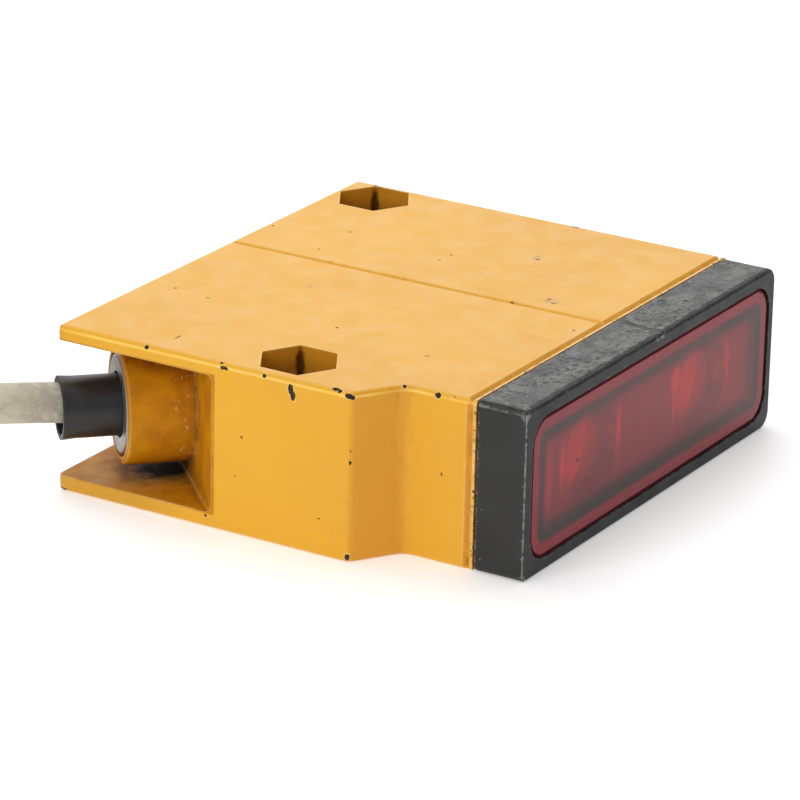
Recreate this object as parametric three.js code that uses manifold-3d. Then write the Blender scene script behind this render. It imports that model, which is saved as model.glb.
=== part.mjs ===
// Block photoelectric sensor with a corner cable outlet.
// Millimetres, +Z up.  The parts are drawn in corner coordinates: x runs from the cable
// corner towards the lens window, y from the near side to the far side, z from the base.
// The outer group moves the origin to the middle of the base.
import * as THREE from 'three';
import { mergeVertices } from 'three/addons/utils/BufferGeometryUtils.js';
import Module from 'manifold-3d';

const wasm = await Module();
wasm.setup();

// ---------------------------------------------------------------- driving dimensions
const REAR = -0.5;              // rear face
const FRONT = 71.5;             // bezel front
const WIDTH = 79.75;            // near side to far side of the housing
const HEIGHT = 24.75;           // base to top of the housing
const PROUD = 0.2;              // how far the bezel stands out of the housing
const GAP = 0.3;                // clearance between separate pieces
const WALL = 2.2;               // housing wall, floor, roof and the two corner wings
const EDGE_TOP = 0.8;           // rounding of the housing's upper edges
const EDGE_BASE = 0.4;          // and of its lower edges
const MID_Z = HEIGHT / 2;       // height of the optical and cable axes

const BEZEL_REAR = 63.75;
const BEZEL_STEP = 68.8;        // ledge that carries the window gasket
const HOUSING_FRONT = BEZEL_REAR - GAP;
const STEP_START = 48;          // the near side steps inwards here
const STEP_END = 52.6;
const STEP_DEPTH = 7.13;

const CORNER_CUT = 25.5;        // the cable pocket is where x + y is under this
const POCKET_FILLET = 1.2;
const BOSS_R = 8.7;             // round boss on the pocket's slanting wall
const BOSS_END = 8.3;           // distances along the diagonal, from the corner inwards
const BOSS_ROOT = 19.4;

const NUT_FLATS = 10.4;         // hexagonal pocket for an M6 nut
const NUT_DEPTH = 6;
const BOLT_R = 3.3;
const BOLT_PLACES = [
  { x: 35.24, y: 7.03 },
  { x: 6.5, y: 73.4 },
];

const GROOVE_SIDE = 0.75;       // side of the square that cuts a V groove
const AXIS_GROOVE_Y = 44.2;
const FRONT_GROOVE_X = 62.5;

const WINDOW = { y0: 8.95, y1: 78.25, z0: 1.95, z1: 22.65, r: 4 };
const WINDOW_REAR = 69.9;
const WINDOW_FRONT = 71.3;
const LENS_YS = { emitter_lens: 27.1, receiver_lens: 59.5 };
const LENS_R = 7.15;
const BARREL_IN = 7.45;
const BARREL_OUT = 8.1;
const CARRIER_FRONT = WINDOW_REAR - GAP;
const CARRIER_PLATE = { x0: 60.4, x1: 61.9 };

const OPTICS_BOARD_X = 47.5;
const MAIN_BOARD_Z = 6;
const BOARD_THICK = 1.2;
const PARTS_Z = MAIN_BOARD_Z + BOARD_THICK + GAP;

const ADJUSTER_Y = 50;
const INDICATOR_Y = 40;

const CABLE_R = 2.9;
const SLEEVE_R = 4.45;
const SLEEVE_MOUTH = -0.2;      // along the diagonal, just outside the corner
const COIL_CENTRE = { x: -67, y: -1.5 };
const COIL_MEAN_R = 32.9;       // middle of the turns
const COIL_TURNS_WIDE = 3;
const COIL_TURNS_HIGH = 3;
const CORE_R = 0.65;

// ---------------------------------------------------------------- materials
function material(color, roughness, metalness = 0, opacity = 1) {
  return new THREE.MeshStandardMaterial({
    color, roughness, metalness, opacity, transparent: opacity < 1,
  });
}
const yellowPaint = () => material(0xe9a63a, 0.45);
const blackPaint = () => material(0x3a3c3b, 0.5);
const redWindow = () => material(0x7a1020, 0.12, 0, 0.6);
const clearLens = () => material(0xf2d8d8, 0.05, 0, 0.5);
const blackPlastic = () => material(0x1c1c1e, 0.6);
const greyRubber = () => material(0x8d8a88, 0.8);
const blackRubber = () => material(0x222325, 0.7);
const boardGreen = () => material(0x1d5a35, 0.5);
const steel = () => material(0xa9aaad, 0.35, 1);
const chipBlack = () => material(0x202020, 0.55);
const capBlue = () => material(0x24386e, 0.4);
const trimBlue = () => material(0x2b5fa8, 0.5);
const whitePlastic = () => material(0xe8e6de, 0.5);
const greyJacket = () => material(0xbdb6a4, 0.6);
const CORE_COLOURS = { brown: 0x5a3018, blue: 0x1f4fa0, black: 0x18181a };

// ---------------------------------------------------------------- shape helpers
// A closed solid for cutting and joining.  Meshes that come out inside out are turned.
function solid(geometry) {
  const bare = geometry.clone();
  bare.deleteAttribute('normal');
  bare.deleteAttribute('uv');
  const merged = mergeVertices(bare, 1e-4);
  const index = merged.index.array;
  const kept = [];
  for (let i = 0; i < index.length; i += 3) {
    const [a, b, c] = [index[i], index[i + 1], index[i + 2]];
    if (a !== b && b !== c && c !== a) kept.push(a, b, c);
  }
  if (signedVolume(merged.attributes.position, kept) < 0) kept.reverse();
  return new wasm.Manifold(new wasm.Mesh({
    numProp: 3,
    vertProperties: new Float32Array(merged.attributes.position.array),
    triVerts: new Uint32Array(kept),
  }));
}

function signedVolume(position, index) {
  const [a, b, c] = [new THREE.Vector3(), new THREE.Vector3(), new THREE.Vector3()];
  let sum = 0;
  for (let i = 0; i < index.length; i += 3) {
    a.fromBufferAttribute(position, index[i]);
    b.fromBufferAttribute(position, index[i + 1]);
    c.fromBufferAttribute(position, index[i + 2]);
    sum += a.dot(b.cross(c)) / 6;
  }
  return sum;
}

function geometryOf(manifold) {
  const mesh = manifold.getMesh();
  const geometry = new THREE.BufferGeometry();
  const position = new THREE.BufferAttribute(new Float32Array(mesh.vertProperties), 3);
  geometry.setAttribute('position', position);
  geometry.setIndex(new THREE.BufferAttribute(new Uint32Array(mesh.triVerts), 1));
  geometry.computeVertexNormals();
  return geometry;
}

function joined(first, ...others) {
  return others.reduce((sum, next) => sum.add(solid(next)), solid(first));
}

function cut(manifold, ...tools) {
  return tools.reduce((rest, tool) => rest.subtract(solid(tool)), manifold);
}

function block(x0, x1, y0, y1, z0, z1) {
  const geometry = new THREE.BoxGeometry(x1 - x0, y1 - y0, z1 - z0);
  return geometry.translate((x0 + x1) / 2, (y0 + y1) / 2, (z0 + z1) / 2);
}

// A round bar along X from x0 to x1.
function barX(radius, x0, x1, y, z, sides = 24) {
  const geometry = new THREE.CylinderGeometry(radius, radius, x1 - x0, sides);
  return geometry.rotateZ(-Math.PI / 2).translate((x0 + x1) / 2, y, z);
}

// A round bar along Z from z0 to z1.
function barZ(radius, z0, z1, x, y, sides = 24) {
  const geometry = new THREE.CylinderGeometry(radius, radius, z1 - z0, sides);
  return geometry.rotateX(Math.PI / 2).translate(x, y, (z0 + z1) / 2);
}

// An outline whose corners are rounded; each corner is [x, y, radius].
function roundedOutline(corners) {
  const shape = new THREE.Shape();
  corners.forEach(([x, y, radius], i) => {
    const before = corners[(i + corners.length - 1) % corners.length];
    const after = corners[(i + 1) % corners.length];
    const corner = new THREE.Vector2(x, y);
    const enter = towards(corner, before, radius);
    const leave = towards(corner, after, radius);
    if (i === 0) shape.moveTo(enter.x, enter.y);
    else shape.lineTo(enter.x, enter.y);
    if (radius > 0) shape.quadraticCurveTo(x, y, leave.x, leave.y);
  });
  shape.closePath();
  return shape;
}

function towards(corner, [x, y], distance) {
  const step = new THREE.Vector2(x, y).sub(corner).setLength(distance);
  return step.add(corner);
}

// A rectangle in the YZ plane with quarter-circle corners; radii start at the low-y,
// low-z corner and go round by way of high y.
function roundedRectangle({ y0, y1, z0, z1, r, radii = [r, r, r, r] }) {
  const shape = new THREE.Shape();
  const quarter = Math.PI / 2;
  const places = [
    [y0 + radii[0], z0 + radii[0], 2 * quarter],
    [y1 - radii[1], z0 + radii[1], 3 * quarter],
    [y1 - radii[2], z1 - radii[2], 0],
    [y0 + radii[3], z1 - radii[3], quarter],
  ];
  places.forEach(([y, z, start], i) => {
    shape.absarc(y, z, radii[i], start, start + quarter, false);
  });
  shape.closePath();
  return shape;
}

// Extrudes an outline upwards, with its upper and lower edges rounded.
function prismZ(shape, z0, z1, rounding = 0, curveSegments = 4) {
  const geometry = new THREE.ExtrudeGeometry(shape, {
    depth: z1 - z0 - 2 * rounding,
    curveSegments,
    bevelEnabled: rounding > 0,
    bevelThickness: rounding,
    bevelSize: rounding,
    bevelOffset: -rounding,
    bevelSegments: 3,
  });
  return geometry.translate(0, 0, z0 + rounding);
}

// Extrudes an outline of the YZ plane along X.
function prismX(shape, x0, x1, rounding = 0, curveSegments = 6) {
  const turn = new THREE.Matrix4().makeBasis(
    new THREE.Vector3(0, 1, 0), new THREE.Vector3(0, 0, 1), new THREE.Vector3(1, 0, 0));
  return prismZ(shape, x0, x1, rounding, curveSegments).applyMatrix4(turn);
}

// A solid of revolution about a line along X; the profile is [radius, x] pairs.
function turnedX(profile, y, z, sides = 32) {
  const points = profile.map(([radius, x]) => new THREE.Vector2(radius, x));
  return new THREE.LatheGeometry(points, sides).rotateZ(-Math.PI / 2).translate(0, y, z);
}

// A ring profile that closes on itself, for a lathe.
function ringProfile(inner, outer, from, to) {
  const corners = [[inner, from], [outer, from], [outer, to], [inner, to], [inner, from]];
  return corners.map(([radius, height]) => new THREE.Vector2(radius, height));
}

function hexagon(x, y, flats) {
  const radius = flats / Math.sqrt(3);
  const corners = [];
  for (let i = 0; i < 6; i += 1) {
    const angle = i * Math.PI / 3;
    corners.push([x + radius * Math.cos(angle), y + radius * Math.sin(angle), 0]);
  }
  return roundedOutline(corners);
}

// A round cord of the given radius along a curve.
function tubeAlong(curve, radius, steps, sides) {
  const section = new THREE.Shape();
  for (let i = 0; i < sides; i += 1) {
    const angle = i * 2 * Math.PI / sides;
    const [x, y] = [radius * Math.cos(angle), radius * Math.sin(angle)];
    if (i === 0) section.moveTo(x, y);
    else section.lineTo(x, y);
  }
  section.closePath();
  return geometryOf(solid(new THREE.ExtrudeGeometry(section, {
    steps, extrudePath: curve, bevelEnabled: false,
  })));
}

function smoothCurve(points) {
  return new THREE.CatmullRomCurve3(points.map((p) => new THREE.Vector3(...p)), false,
    'centripetal');
}

// ---------------------------------------------------------------- scene graph
const sensor = new THREE.Group();
const assembly = new THREE.Group();
assembly.position.set(-(REAR + FRONT) / 2, -(WIDTH + PROUD) / 2, 0);
sensor.add(assembly);

// The cable outlet's own axes: local y runs inwards along the diagonal, z stays up.
const outlet = new THREE.Group();
outlet.position.set(0, 0, MID_Z);
outlet.rotation.z = -Math.PI / 4;
outlet.updateMatrix();
assembly.add(outlet);

function add(name, geometry, look, parent = assembly) {
  const mesh = new THREE.Mesh(geometry, look);
  mesh.name = name;
  parent.add(mesh);
}

// A place on the outlet's axis, lifted by rise, in the assembly's coordinates.
function onDiagonal(distance, rise = 0) {
  return [distance * Math.SQRT1_2, distance * Math.SQRT1_2, MID_Z + rise];
}

// ---------------------------------------------------------------- housing
const CAVITY_ROOF = HEIGHT - WALL;
const POST_YS = [13, 73.5];
const POST_ZS = [5.35, HEIGHT - 5.35];
const POST_R = 3.3;
const SCREW_HOLE_R = 1.25;
const BOARD_POSTS = [{ x: 19, y: 23 }, { x: 42, y: 60 }];

// Rounded above and below; the front is cut off square where the bezel meets it.
function housingBlock() {
  const spare = 2;
  const outline = roundedOutline([
    [REAR, 0, 1.15],
    [STEP_START, 0, 0.8],
    [STEP_END, STEP_DEPTH, 1.6],
    [HOUSING_FRONT + spare, STEP_DEPTH, 0],
    [HOUSING_FRONT + spare, WIDTH, 0],
    [REAR, WIDTH, 1.15],
  ]);
  const roundedBelow = solid(prismZ(outline, 0, HEIGHT + spare, EDGE_BASE));
  const roundedAbove = solid(prismZ(outline, -spare, HEIGHT, EDGE_TOP));
  return cut(roundedBelow.intersect(roundedAbove),
    block(HOUSING_FRONT, HOUSING_FRONT + 2 * spare, -1, WIDTH + 1, -1, HEIGHT + 1));
}

function cavity() {
  const inner = CORNER_CUT + 3.6;
  const outline = roundedOutline([
    [HOUSING_FRONT + 1, 9.5, 0],
    [HOUSING_FRONT + 1, WIDTH - 2.4, 0],
    [14.3, WIDTH - 2.4, 1],
    [14.3, 69, 1],
    [9.5, 64.9, 1],
    [WALL, 64.9, 1],
    [WALL, inner - WALL, 1],
    [inner - 8.5, 8.5, 1],
    [24.5, 8.5, 1],
    [28, 14.6, 1],
    [42.5, 14.6, 1],
    [45.5, 9.5, 1],
  ]);
  return prismZ(outline, WALL, CAVITY_ROOF);
}

function cablePocket() {
  const outside = -3;
  const outline = roundedOutline([
    [outside, outside, 0],
    [CORNER_CUT - outside, outside, 0],
    [outside, CORNER_CUT - outside, 0],
  ]);
  return prismZ(outline, WALL, HEIGHT - WALL, POCKET_FILLET);
}

function outletBoss() {
  const rim = 0.6;
  const profile = [
    [0, BOSS_ROOT],
    [BOSS_R, BOSS_ROOT],
    [BOSS_R, BOSS_END + rim],
    [BOSS_R - 0.3 * rim, BOSS_END + 0.3 * rim],
    [BOSS_R - rim, BOSS_END],
    [0, BOSS_END],
  ];
  const points = profile.map(([radius, along]) => new THREE.Vector2(radius, along));
  return new THREE.LatheGeometry(points, 48).applyMatrix4(outlet.matrix);
}

// A round hole along the diagonal.
function diagonalHole(radius, from, to) {
  const geometry = new THREE.CylinderGeometry(radius, radius, to - from, 40);
  return geometry.translate(0, (from + to) / 2, 0).applyMatrix4(outlet.matrix);
}

// A V groove: a long square bar standing on its edge, laid in the surface.
function grooveBar(lengthAlong, axis, x, y, z) {
  const geometry = new THREE.BoxGeometry(lengthAlong, GROOVE_SIDE, GROOVE_SIDE);
  geometry.rotateX(Math.PI / 4);
  if (axis === 'y') geometry.rotateZ(Math.PI / 2);
  if (axis === 'z') geometry.rotateY(Math.PI / 2);
  return geometry.translate(x, y, z);
}

function screwPosts() {
  const posts = [];
  for (const y of POST_YS) {
    for (const z of POST_ZS) {
      posts.push(barX(POST_R, 50, CARRIER_PLATE.x0 - GAP, y, z));
    }
  }
  for (const { x, y } of BOARD_POSTS) {
    posts.push(barZ(POST_R, 1, MAIN_BOARD_Z - GAP, x, y));
  }
  return posts;
}

function screwPostHoles() {
  const holes = [];
  for (const y of POST_YS) {
    for (const z of POST_ZS) {
      holes.push(barX(SCREW_HOLE_R, 53, CARRIER_PLATE.x0, y, z, 16));
    }
  }
  for (const { x, y } of BOARD_POSTS) {
    holes.push(barZ(SCREW_HOLE_R, 1.2, MAIN_BOARD_Z, x, y, 16));
  }
  return holes;
}

function housing() {
  let shell = cut(housingBlock(), cavity(), cablePocket());
  shell = [outletBoss(), ...screwPosts()].reduce((sum, next) => sum.add(solid(next)), shell);
  shell = cut(shell, diagonalHole(7.55, 0, 10.6), diagonalHole(6.7, 10, 17.4),
    diagonalHole(3.6, 17, BOSS_ROOT + 4), ...screwPostHoles());
  for (const { x, y } of BOLT_PLACES) {
    shell = cut(shell, barZ(BOLT_R, -1, HEIGHT, x, y, 32),
      prismZ(hexagon(x, y, NUT_FLATS), HEIGHT - NUT_DEPTH, HEIGHT + 1));
  }
  shell = cut(shell,
    grooveBar(FRONT_GROOVE_X + 1, 'x', (FRONT_GROOVE_X - 1) / 2, AXIS_GROOVE_Y, HEIGHT),
    grooveBar(WIDTH, 'y', FRONT_GROOVE_X, WIDTH / 2 + 2, HEIGHT),
    grooveBar(HEIGHT + 2, 'z', FRONT_GROOVE_X, STEP_DEPTH, MID_Z),
    grooveBar(HEIGHT + 2, 'z', FRONT_GROOVE_X, WIDTH, MID_Z));
  return cut(shell,
    barX(3.6, REAR - 1, REAR + 0.8, ADJUSTER_Y, MID_Z, 32),
    barX(2.3, -1, WALL + 1, ADJUSTER_Y, MID_Z),
    barX(1.8, -1, WALL + 1, INDICATOR_Y, MID_Z));
}
add('housing', geometryOf(housing()), yellowPaint());

// ---------------------------------------------------------------- bezel and window
const LEDGE = { y0: 11.4, y1: 75.9, z0: 3.9, z1: HEIGHT - 3.9, r: 2.6 };

function bezel() {
  const near = STEP_DEPTH - PROUD;
  const outer = roundedRectangle({
    y0: near, y1: WIDTH + PROUD, z0: 0, z1: HEIGHT + PROUD, radii: [1, 2.4, 2.4, 1],
  });
  const clearance = 0.15;
  const recess = {
    y0: WINDOW.y0 - clearance, y1: WINDOW.y1 + clearance,
    z0: WINDOW.z0 - clearance, z1: WINDOW.z1 + clearance, r: WINDOW.r + clearance,
  };
  return cut(solid(prismX(outer, BEZEL_REAR, FRONT, 0.35)),
    prismX(roundedRectangle(LEDGE), BEZEL_REAR - 1, FRONT + 1),
    prismX(roundedRectangle(recess), BEZEL_STEP, FRONT + 1));
}
add('front_bezel', geometryOf(bezel()), blackPaint());

add('window', prismX(roundedRectangle(WINDOW), WINDOW_REAR, WINDOW_FRONT, 0, 8), redWindow());

function ringPlate(outside, inside, x0, x1) {
  return geometryOf(cut(solid(prismX(roundedRectangle(outside), x0, x1)),
    prismX(roundedRectangle(inside), x0 - 1, x1 + 1)));
}
const gasketOutside = { y0: 9.3, y1: 77.9, z0: 2.3, z1: 22.3, r: 3.6 };

add('window_gasket', ringPlate(gasketOutside, LEDGE, BEZEL_STEP + GAP,
  WINDOW_REAR - GAP), greyRubber());

const sealOutside = { y0: 9.85, y1: 76.65, z0: WALL + 0.35, z1: CAVITY_ROOF - 0.35, r: 0.8 };
const sealInside = { y0: 10.9, y1: 75.6, z0: 3.2, z1: HEIGHT - 3.2, r: 0.5 };
add('front_gasket', ringPlate(sealOutside, sealInside, CARRIER_PLATE.x1 + 0.25,
  HOUSING_FRONT), blackRubber());

// ---------------------------------------------------------------- optics
function opticsCarrier() {
  const face = { y0: 11.7, y1: 75.6, z0: 4.2, z1: HEIGHT - 4.2, r: 2.3 };
  const plate = { y0: 9.9, y1: 76.6, z0: 2.6, z1: CAVITY_ROOF - 0.4, r: 0.8 };
  let body = joined(prismX(roundedRectangle(face), CARRIER_FRONT - 1.7, CARRIER_FRONT),
    prismX(roundedRectangle(plate), CARRIER_PLATE.x0, CARRIER_PLATE.x1));
  for (const y of Object.values(LENS_YS)) {
    body = body.add(solid(barX(BARREL_OUT, 49, CARRIER_FRONT, y, MID_Z, 48)));
    body = cut(body, barX(BARREL_IN, 48, FRONT, y, MID_Z, 48));
  }
  for (const y of POST_YS) {
    for (const z of POST_ZS) {
      body = cut(body, barX(SCREW_HOLE_R, 58, 63, y, z, 16));
    }
  }
  return geometryOf(body);
}
add('optics_carrier', opticsCarrier(), blackPlastic());

// Flat at the back, domed towards the window.
function lens(y) {
  const back = 65.2;
  const rim = 67.4;
  const vertex = 69.4;
  const rise = vertex - rim;
  const sphere = (LENS_R ** 2 + rise ** 2) / (2 * rise);
  const profile = [[0, back], [LENS_R, back], [LENS_R, rim]];
  const steps = 6;
  for (let i = 1; i < steps; i += 1) {
    const radius = LENS_R * (1 - i / steps);
    profile.push([radius, vertex - sphere + Math.sqrt(sphere ** 2 - radius ** 2)]);
  }
  profile.push([0, vertex]);
  return geometryOf(solid(turnedX(profile, y, MID_Z)));
}
for (const [name, y] of Object.entries(LENS_YS)) {
  add(name, lens(y), clearLens());
}

const BOARD_FRONT = OPTICS_BOARD_X + BOARD_THICK;
add('optics_board', block(OPTICS_BOARD_X, BOARD_FRONT, 17.5, 69, 3.2, 21.4), boardGreen());

function emitterLed() {
  const x = BOARD_FRONT + GAP;
  const profile = [[0, x], [2.9, x], [2.9, x + 1], [2.5, x + 1], [2.5, x + 5.5],
    [1.8, x + 7.2], [0, x + 8]];
  return geometryOf(solid(turnedX(profile, LENS_YS.emitter_lens, MID_Z, 24)));
}
add('emitter_led', emitterLed(), clearLens());

function photodiode() {
  const x = BOARD_FRONT + GAP;
  const profile = [[0, x], [2.9, x], [2.9, x + 0.5], [2.35, x + 0.5], [2.35, x + 3.4],
    [1.5, x + 3.4], [1.5, x + 3.1], [0, x + 3.1]];
  return geometryOf(solid(turnedX(profile, LENS_YS.receiver_lens, MID_Z, 24)));
}
add('receiver_photodiode', photodiode(), steel());

// ---------------------------------------------------------------- electronics
function mainBoard() {
  const outline = roundedOutline([
    [5, 27.5, 0.5], [15.5, 17, 0.5], [46.9, 17, 0.5], [46.9, 64, 0.5], [5, 64, 0.5],
  ]);
  const board = solid(prismZ(outline, MAIN_BOARD_Z, MAIN_BOARD_Z + BOARD_THICK));
  const holes = BOARD_POSTS.map(({ x, y }) => barZ(SCREW_HOLE_R, 5, 9, x, y, 16));
  return geometryOf(cut(board, ...holes));
}
add('main_board', mainBoard(), boardGreen());
add('microcontroller', block(26, 36, 36, 46, PARTS_Z, PARTS_Z + 1.6), chipBlack());
add('amplifier_chip', block(38.5, 43.5, 21, 30, PARTS_Z, PARTS_Z + 1.7), chipBlack());
add('output_transistor', block(14, 20.5, 30, 39, PARTS_Z, PARTS_Z + 4.6), chipBlack());
add('supply_capacitor', barZ(3.2, PARTS_Z, PARTS_Z + 9, 30, 27, 28), capBlue());
add('filter_capacitor', barZ(2.5, PARTS_Z, PARTS_Z + 7, 37.5, 33, 24), capBlue());
add('inductor', barZ(3.8, PARTS_Z, PARTS_Z + 5.5, 27, 56, 28), chipBlack());
add('board_header', block(43.6, 47.2, 34, 52, PARTS_Z, PARTS_Z + 2.6), blackPlastic());

function screwX(x, y, z, length) {
  const head = turnedX([[0, x - length], [0.95, x - length], [0.95, x], [1.8, x],
    [1.8, x + 0.7], [1.3, x + 1.1], [0, x + 1.1]], y, z, 20);
  const slot = block(x + 0.6, x + 2, y - 2, y + 2, z - 0.25, z + 0.25);
  return cut(solid(head), slot);
}

let screwNumber = 0;
for (const y of POST_YS) {
  for (const z of POST_ZS) {
    screwNumber += 1;
    const screw = screwX(CARRIER_PLATE.x1 + GAP, y, z, 8);
    add(`carrier_screw_${screwNumber}`, geometryOf(screw), steel());
  }
}

// A board screw stands upright: the same screw turned from X to Z.
BOARD_POSTS.forEach(({ x, y }, i) => {
  const upright = geometryOf(screwX(0, 0, 0, 5)).rotateY(-Math.PI / 2);
  upright.translate(x, y, PARTS_Z);
  add(`board_screw_${i + 1}`, upright, steel());
});

// ---------------------------------------------------------------- adjuster and indicator
const TRIMMER_X = 4.9;
function trimmerBody() {
  const body = solid(block(TRIMMER_X, 11, ADJUSTER_Y - 3.6, ADJUSTER_Y + 3.6, PARTS_Z, 16.4));
  return geometryOf(cut(body, barX(1.5, TRIMMER_X - 1, 8.6, ADJUSTER_Y, MID_Z)));
}
add('trimmer_body', trimmerBody(), trimBlue());

function adjusterRotor() {
  const rotor = solid(turnedX([[0, 0.4], [1.8, 0.4], [2, 0.6], [2, 4.4], [1.2, 4.4],
    [1.2, 8.2], [0, 8.2]], ADJUSTER_Y, MID_Z, 32));
  return geometryOf(cut(rotor,
    block(0, 1.4, ADJUSTER_Y - 3, ADJUSTER_Y + 3, MID_Z - 0.35, MID_Z + 0.35)));
}
add('adjuster_rotor', adjusterRotor(), whitePlastic());

function adjusterSeal() {
  const ring = new THREE.LatheGeometry(ringProfile(2.3, 3.2, 2.5, 4.6), 28);
  return geometryOf(solid(ring.rotateZ(-Math.PI / 2).translate(0, ADJUSTER_Y, MID_Z)));
}
add('adjuster_seal', adjusterSeal(), blackRubber());

const INDICATOR_TIP = REAR + 0.1;
const indicatorProfile = [[0, INDICATOR_TIP], [1.2, INDICATOR_TIP], [1.5, INDICATOR_TIP + 0.3],
  [1.5, 2.5], [2.3, 2.5], [2.3, 4], [0, 4]];
add('indicator_lens', geometryOf(solid(turnedX(indicatorProfile, INDICATOR_Y, MID_Z, 24))),
  material(0xd9a520, 0.2, 0, 0.7));
const ledProfile = [[0, 4.4], [0.8, 4.6], [1.5, 5.4], [1.5, 8.4], [1.9, 8.4], [1.9, 9.2],
  [0, 9.2]];
add('indicator_led', geometryOf(solid(turnedX(ledProfile, INDICATOR_Y, MID_Z, 20))),
  material(0xc23a1c, 0.3, 0, 0.8));

// ---------------------------------------------------------------- cable outlet
function latheOnOutlet(profile, sides) {
  const points = profile.map(([radius, along]) => new THREE.Vector2(radius, along));
  return geometryOf(solid(new THREE.LatheGeometry(points, sides)));
}
const closed = (profile) => [...profile, profile[0]];

const GLAND = { inner: SLEEVE_R + GAP, outer: 7.25, from: BOSS_END - 0.1, to: 10.2 };
add('gland_ring', latheOnOutlet(closed([
  [GLAND.inner, GLAND.from], [GLAND.outer - 0.3, GLAND.from],
  [GLAND.outer, GLAND.from + 0.3], [GLAND.outer, GLAND.to], [GLAND.inner, GLAND.to],
]), 48), steel(), outlet);

add('cable_sleeve', latheOnOutlet(closed([
  [3.85, SLEEVE_MOUTH], [SLEEVE_R + 0.15, SLEEVE_MOUTH], [SLEEVE_R, SLEEVE_MOUTH + 2],
  [SLEEVE_R, GLAND.to + GAP], [6.4, GLAND.to + GAP], [6.4, 17], [3.4, 17],
  [3.4, 6], [3.85, 4],
]), 40), blackRubber(), outlet);

add('cable_crimp', latheOnOutlet(closed([
  [3.2, 21.1], [4, 21.1], [4, 22.9], [3.2, 22.9],
]), 28), steel(), outlet);

// ---------------------------------------------------------------- cable
// The cable rises a little in its sleeve, falls to the surface and reaches the coil.
const CABLE_ROUTE = [
  onDiagonal(23.2),
  onDiagonal(18),
  onDiagonal(13),
  onDiagonal(8, 0.1),
  onDiagonal(4, 0.35),
  onDiagonal(0, 0.8),
  [-3.6, -3.4, 13.4],
  [-7.4, -7, 13.4],
  [-12.5, -12, 12.2],
  [-18, -17.6, 9.5],
  [-23.5, -23.5, 6.2],
  [-28.6, -29.2, 3.8],
  [-33.4, -34.4, 3],
];
add('cable_run', tubeAlong(smoothCurve(CABLE_ROUTE), CABLE_R, 40, 12), greyJacket());

const COIL_HEIGHT = 2 * CABLE_R * COIL_TURNS_HIGH;
const COIL_HALF_WIDTH = CABLE_R * COIL_TURNS_WIDE;
function cableCoil() {
  const [inner, outer] = [COIL_MEAN_R - COIL_HALF_WIDTH, COIL_MEAN_R + COIL_HALF_WIDTH];
  const c = CABLE_R * 0.8;
  const profile = [[inner, c], [inner + c, 0], [outer - c, 0], [outer, c],
    [outer, COIL_HEIGHT - c], [outer - c, COIL_HEIGHT], [inner + c, COIL_HEIGHT],
    [inner, COIL_HEIGHT - c], [inner, c]];
  const ring = new THREE.LatheGeometry(profile.map(([r, z]) => new THREE.Vector2(r, z)), 48);
  ring.rotateX(Math.PI / 2).translate(COIL_CENTRE.x, COIL_CENTRE.y, 0);
  return geometryOf(solid(ring));
}
add('cable_coil', cableCoil(), greyJacket());

// The cable's last stretch lies on top of the coil, along an arc.
const TAIL = { radius: 30, from: 5, to: -181, z: COIL_HEIGHT + GAP + CABLE_R };
function arcPoint(radius, degrees, z) {
  const angle = THREE.MathUtils.degToRad(degrees);
  return [COIL_CENTRE.x + radius * Math.cos(angle), COIL_CENTRE.y + radius * Math.sin(angle), z];
}
function arcCurve(radius, from, to, heights) {
  return smoothCurve(heights.map((z, i) => {
    const share = i / (heights.length - 1);
    const across = Array.isArray(radius) ? radius[0] + (radius[1] - radius[0]) * share : radius;
    return arcPoint(across, from + (to - from) * share, z);
  }));
}
add('cable_tail', tubeAlong(arcCurve(TAIL.radius, TAIL.from, TAIL.to,
  Array(11).fill(TAIL.z)), CABLE_R, 18, 12), greyJacket());

// Three insulated cores fan out of the jacket and lie on the coil, each with a tinned tip.
const LEAD_LIE = COIL_HEIGHT + GAP + CORE_R;
const lead = { from: TAIL.to - 0.8, to: TAIL.to - 56, tip: TAIL.to - 66 };
Object.entries(CORE_COLOURS).forEach(([colour, value], i) => {
  const side = i - 1;
  const radii = [TAIL.radius + side * 1.5, TAIL.radius + side * 4.2];
  const heights = [TAIL.z, TAIL.z - 0.5, LEAD_LIE + 0.6, LEAD_LIE, LEAD_LIE, LEAD_LIE];
  add(`lead_${colour}`, tubeAlong(arcCurve(radii, lead.from, lead.to, heights), CORE_R, 12, 8),
    material(value, 0.5));
  const end = TAIL.radius + side * 4.2;
  const tip = arcCurve(end, lead.to - 0.7, lead.tip, Array(3).fill(LEAD_LIE));
  add(`lead_tip_${colour}`, tubeAlong(tip, CORE_R * 0.7, 2, 8), steel());
});

// Inside the housing the same three cores drop from the cable to the board.
Object.entries(CORE_COLOURS).forEach(([colour, value], i) => {
  const aside = (i - 1) * 1.2;
  const route = [[16.9, 12.3], [19, 12.6], [21.4, 11.8], [23, 9.8], [23.3, PARTS_Z]];
  const curve = smoothCurve(route.map(([along, z]) => [along + aside, along - aside, z]));
  add(`core_${colour}`, tubeAlong(curve, CORE_R, 12, 8), material(value, 0.5));
});

export default sensor;
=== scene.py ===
"""Looks of a block photoelectric sensor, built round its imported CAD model.

Everything is in metres in the row frame. Places on the sensor are written in corner
millimetres, as the CAD part has them: x from the cable corner towards the window, y from
the near side to the far side, z from the base. at() turns them into metres.
"""
import math

import bmesh
import bpy
from mathutils import Matrix, Vector


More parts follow.
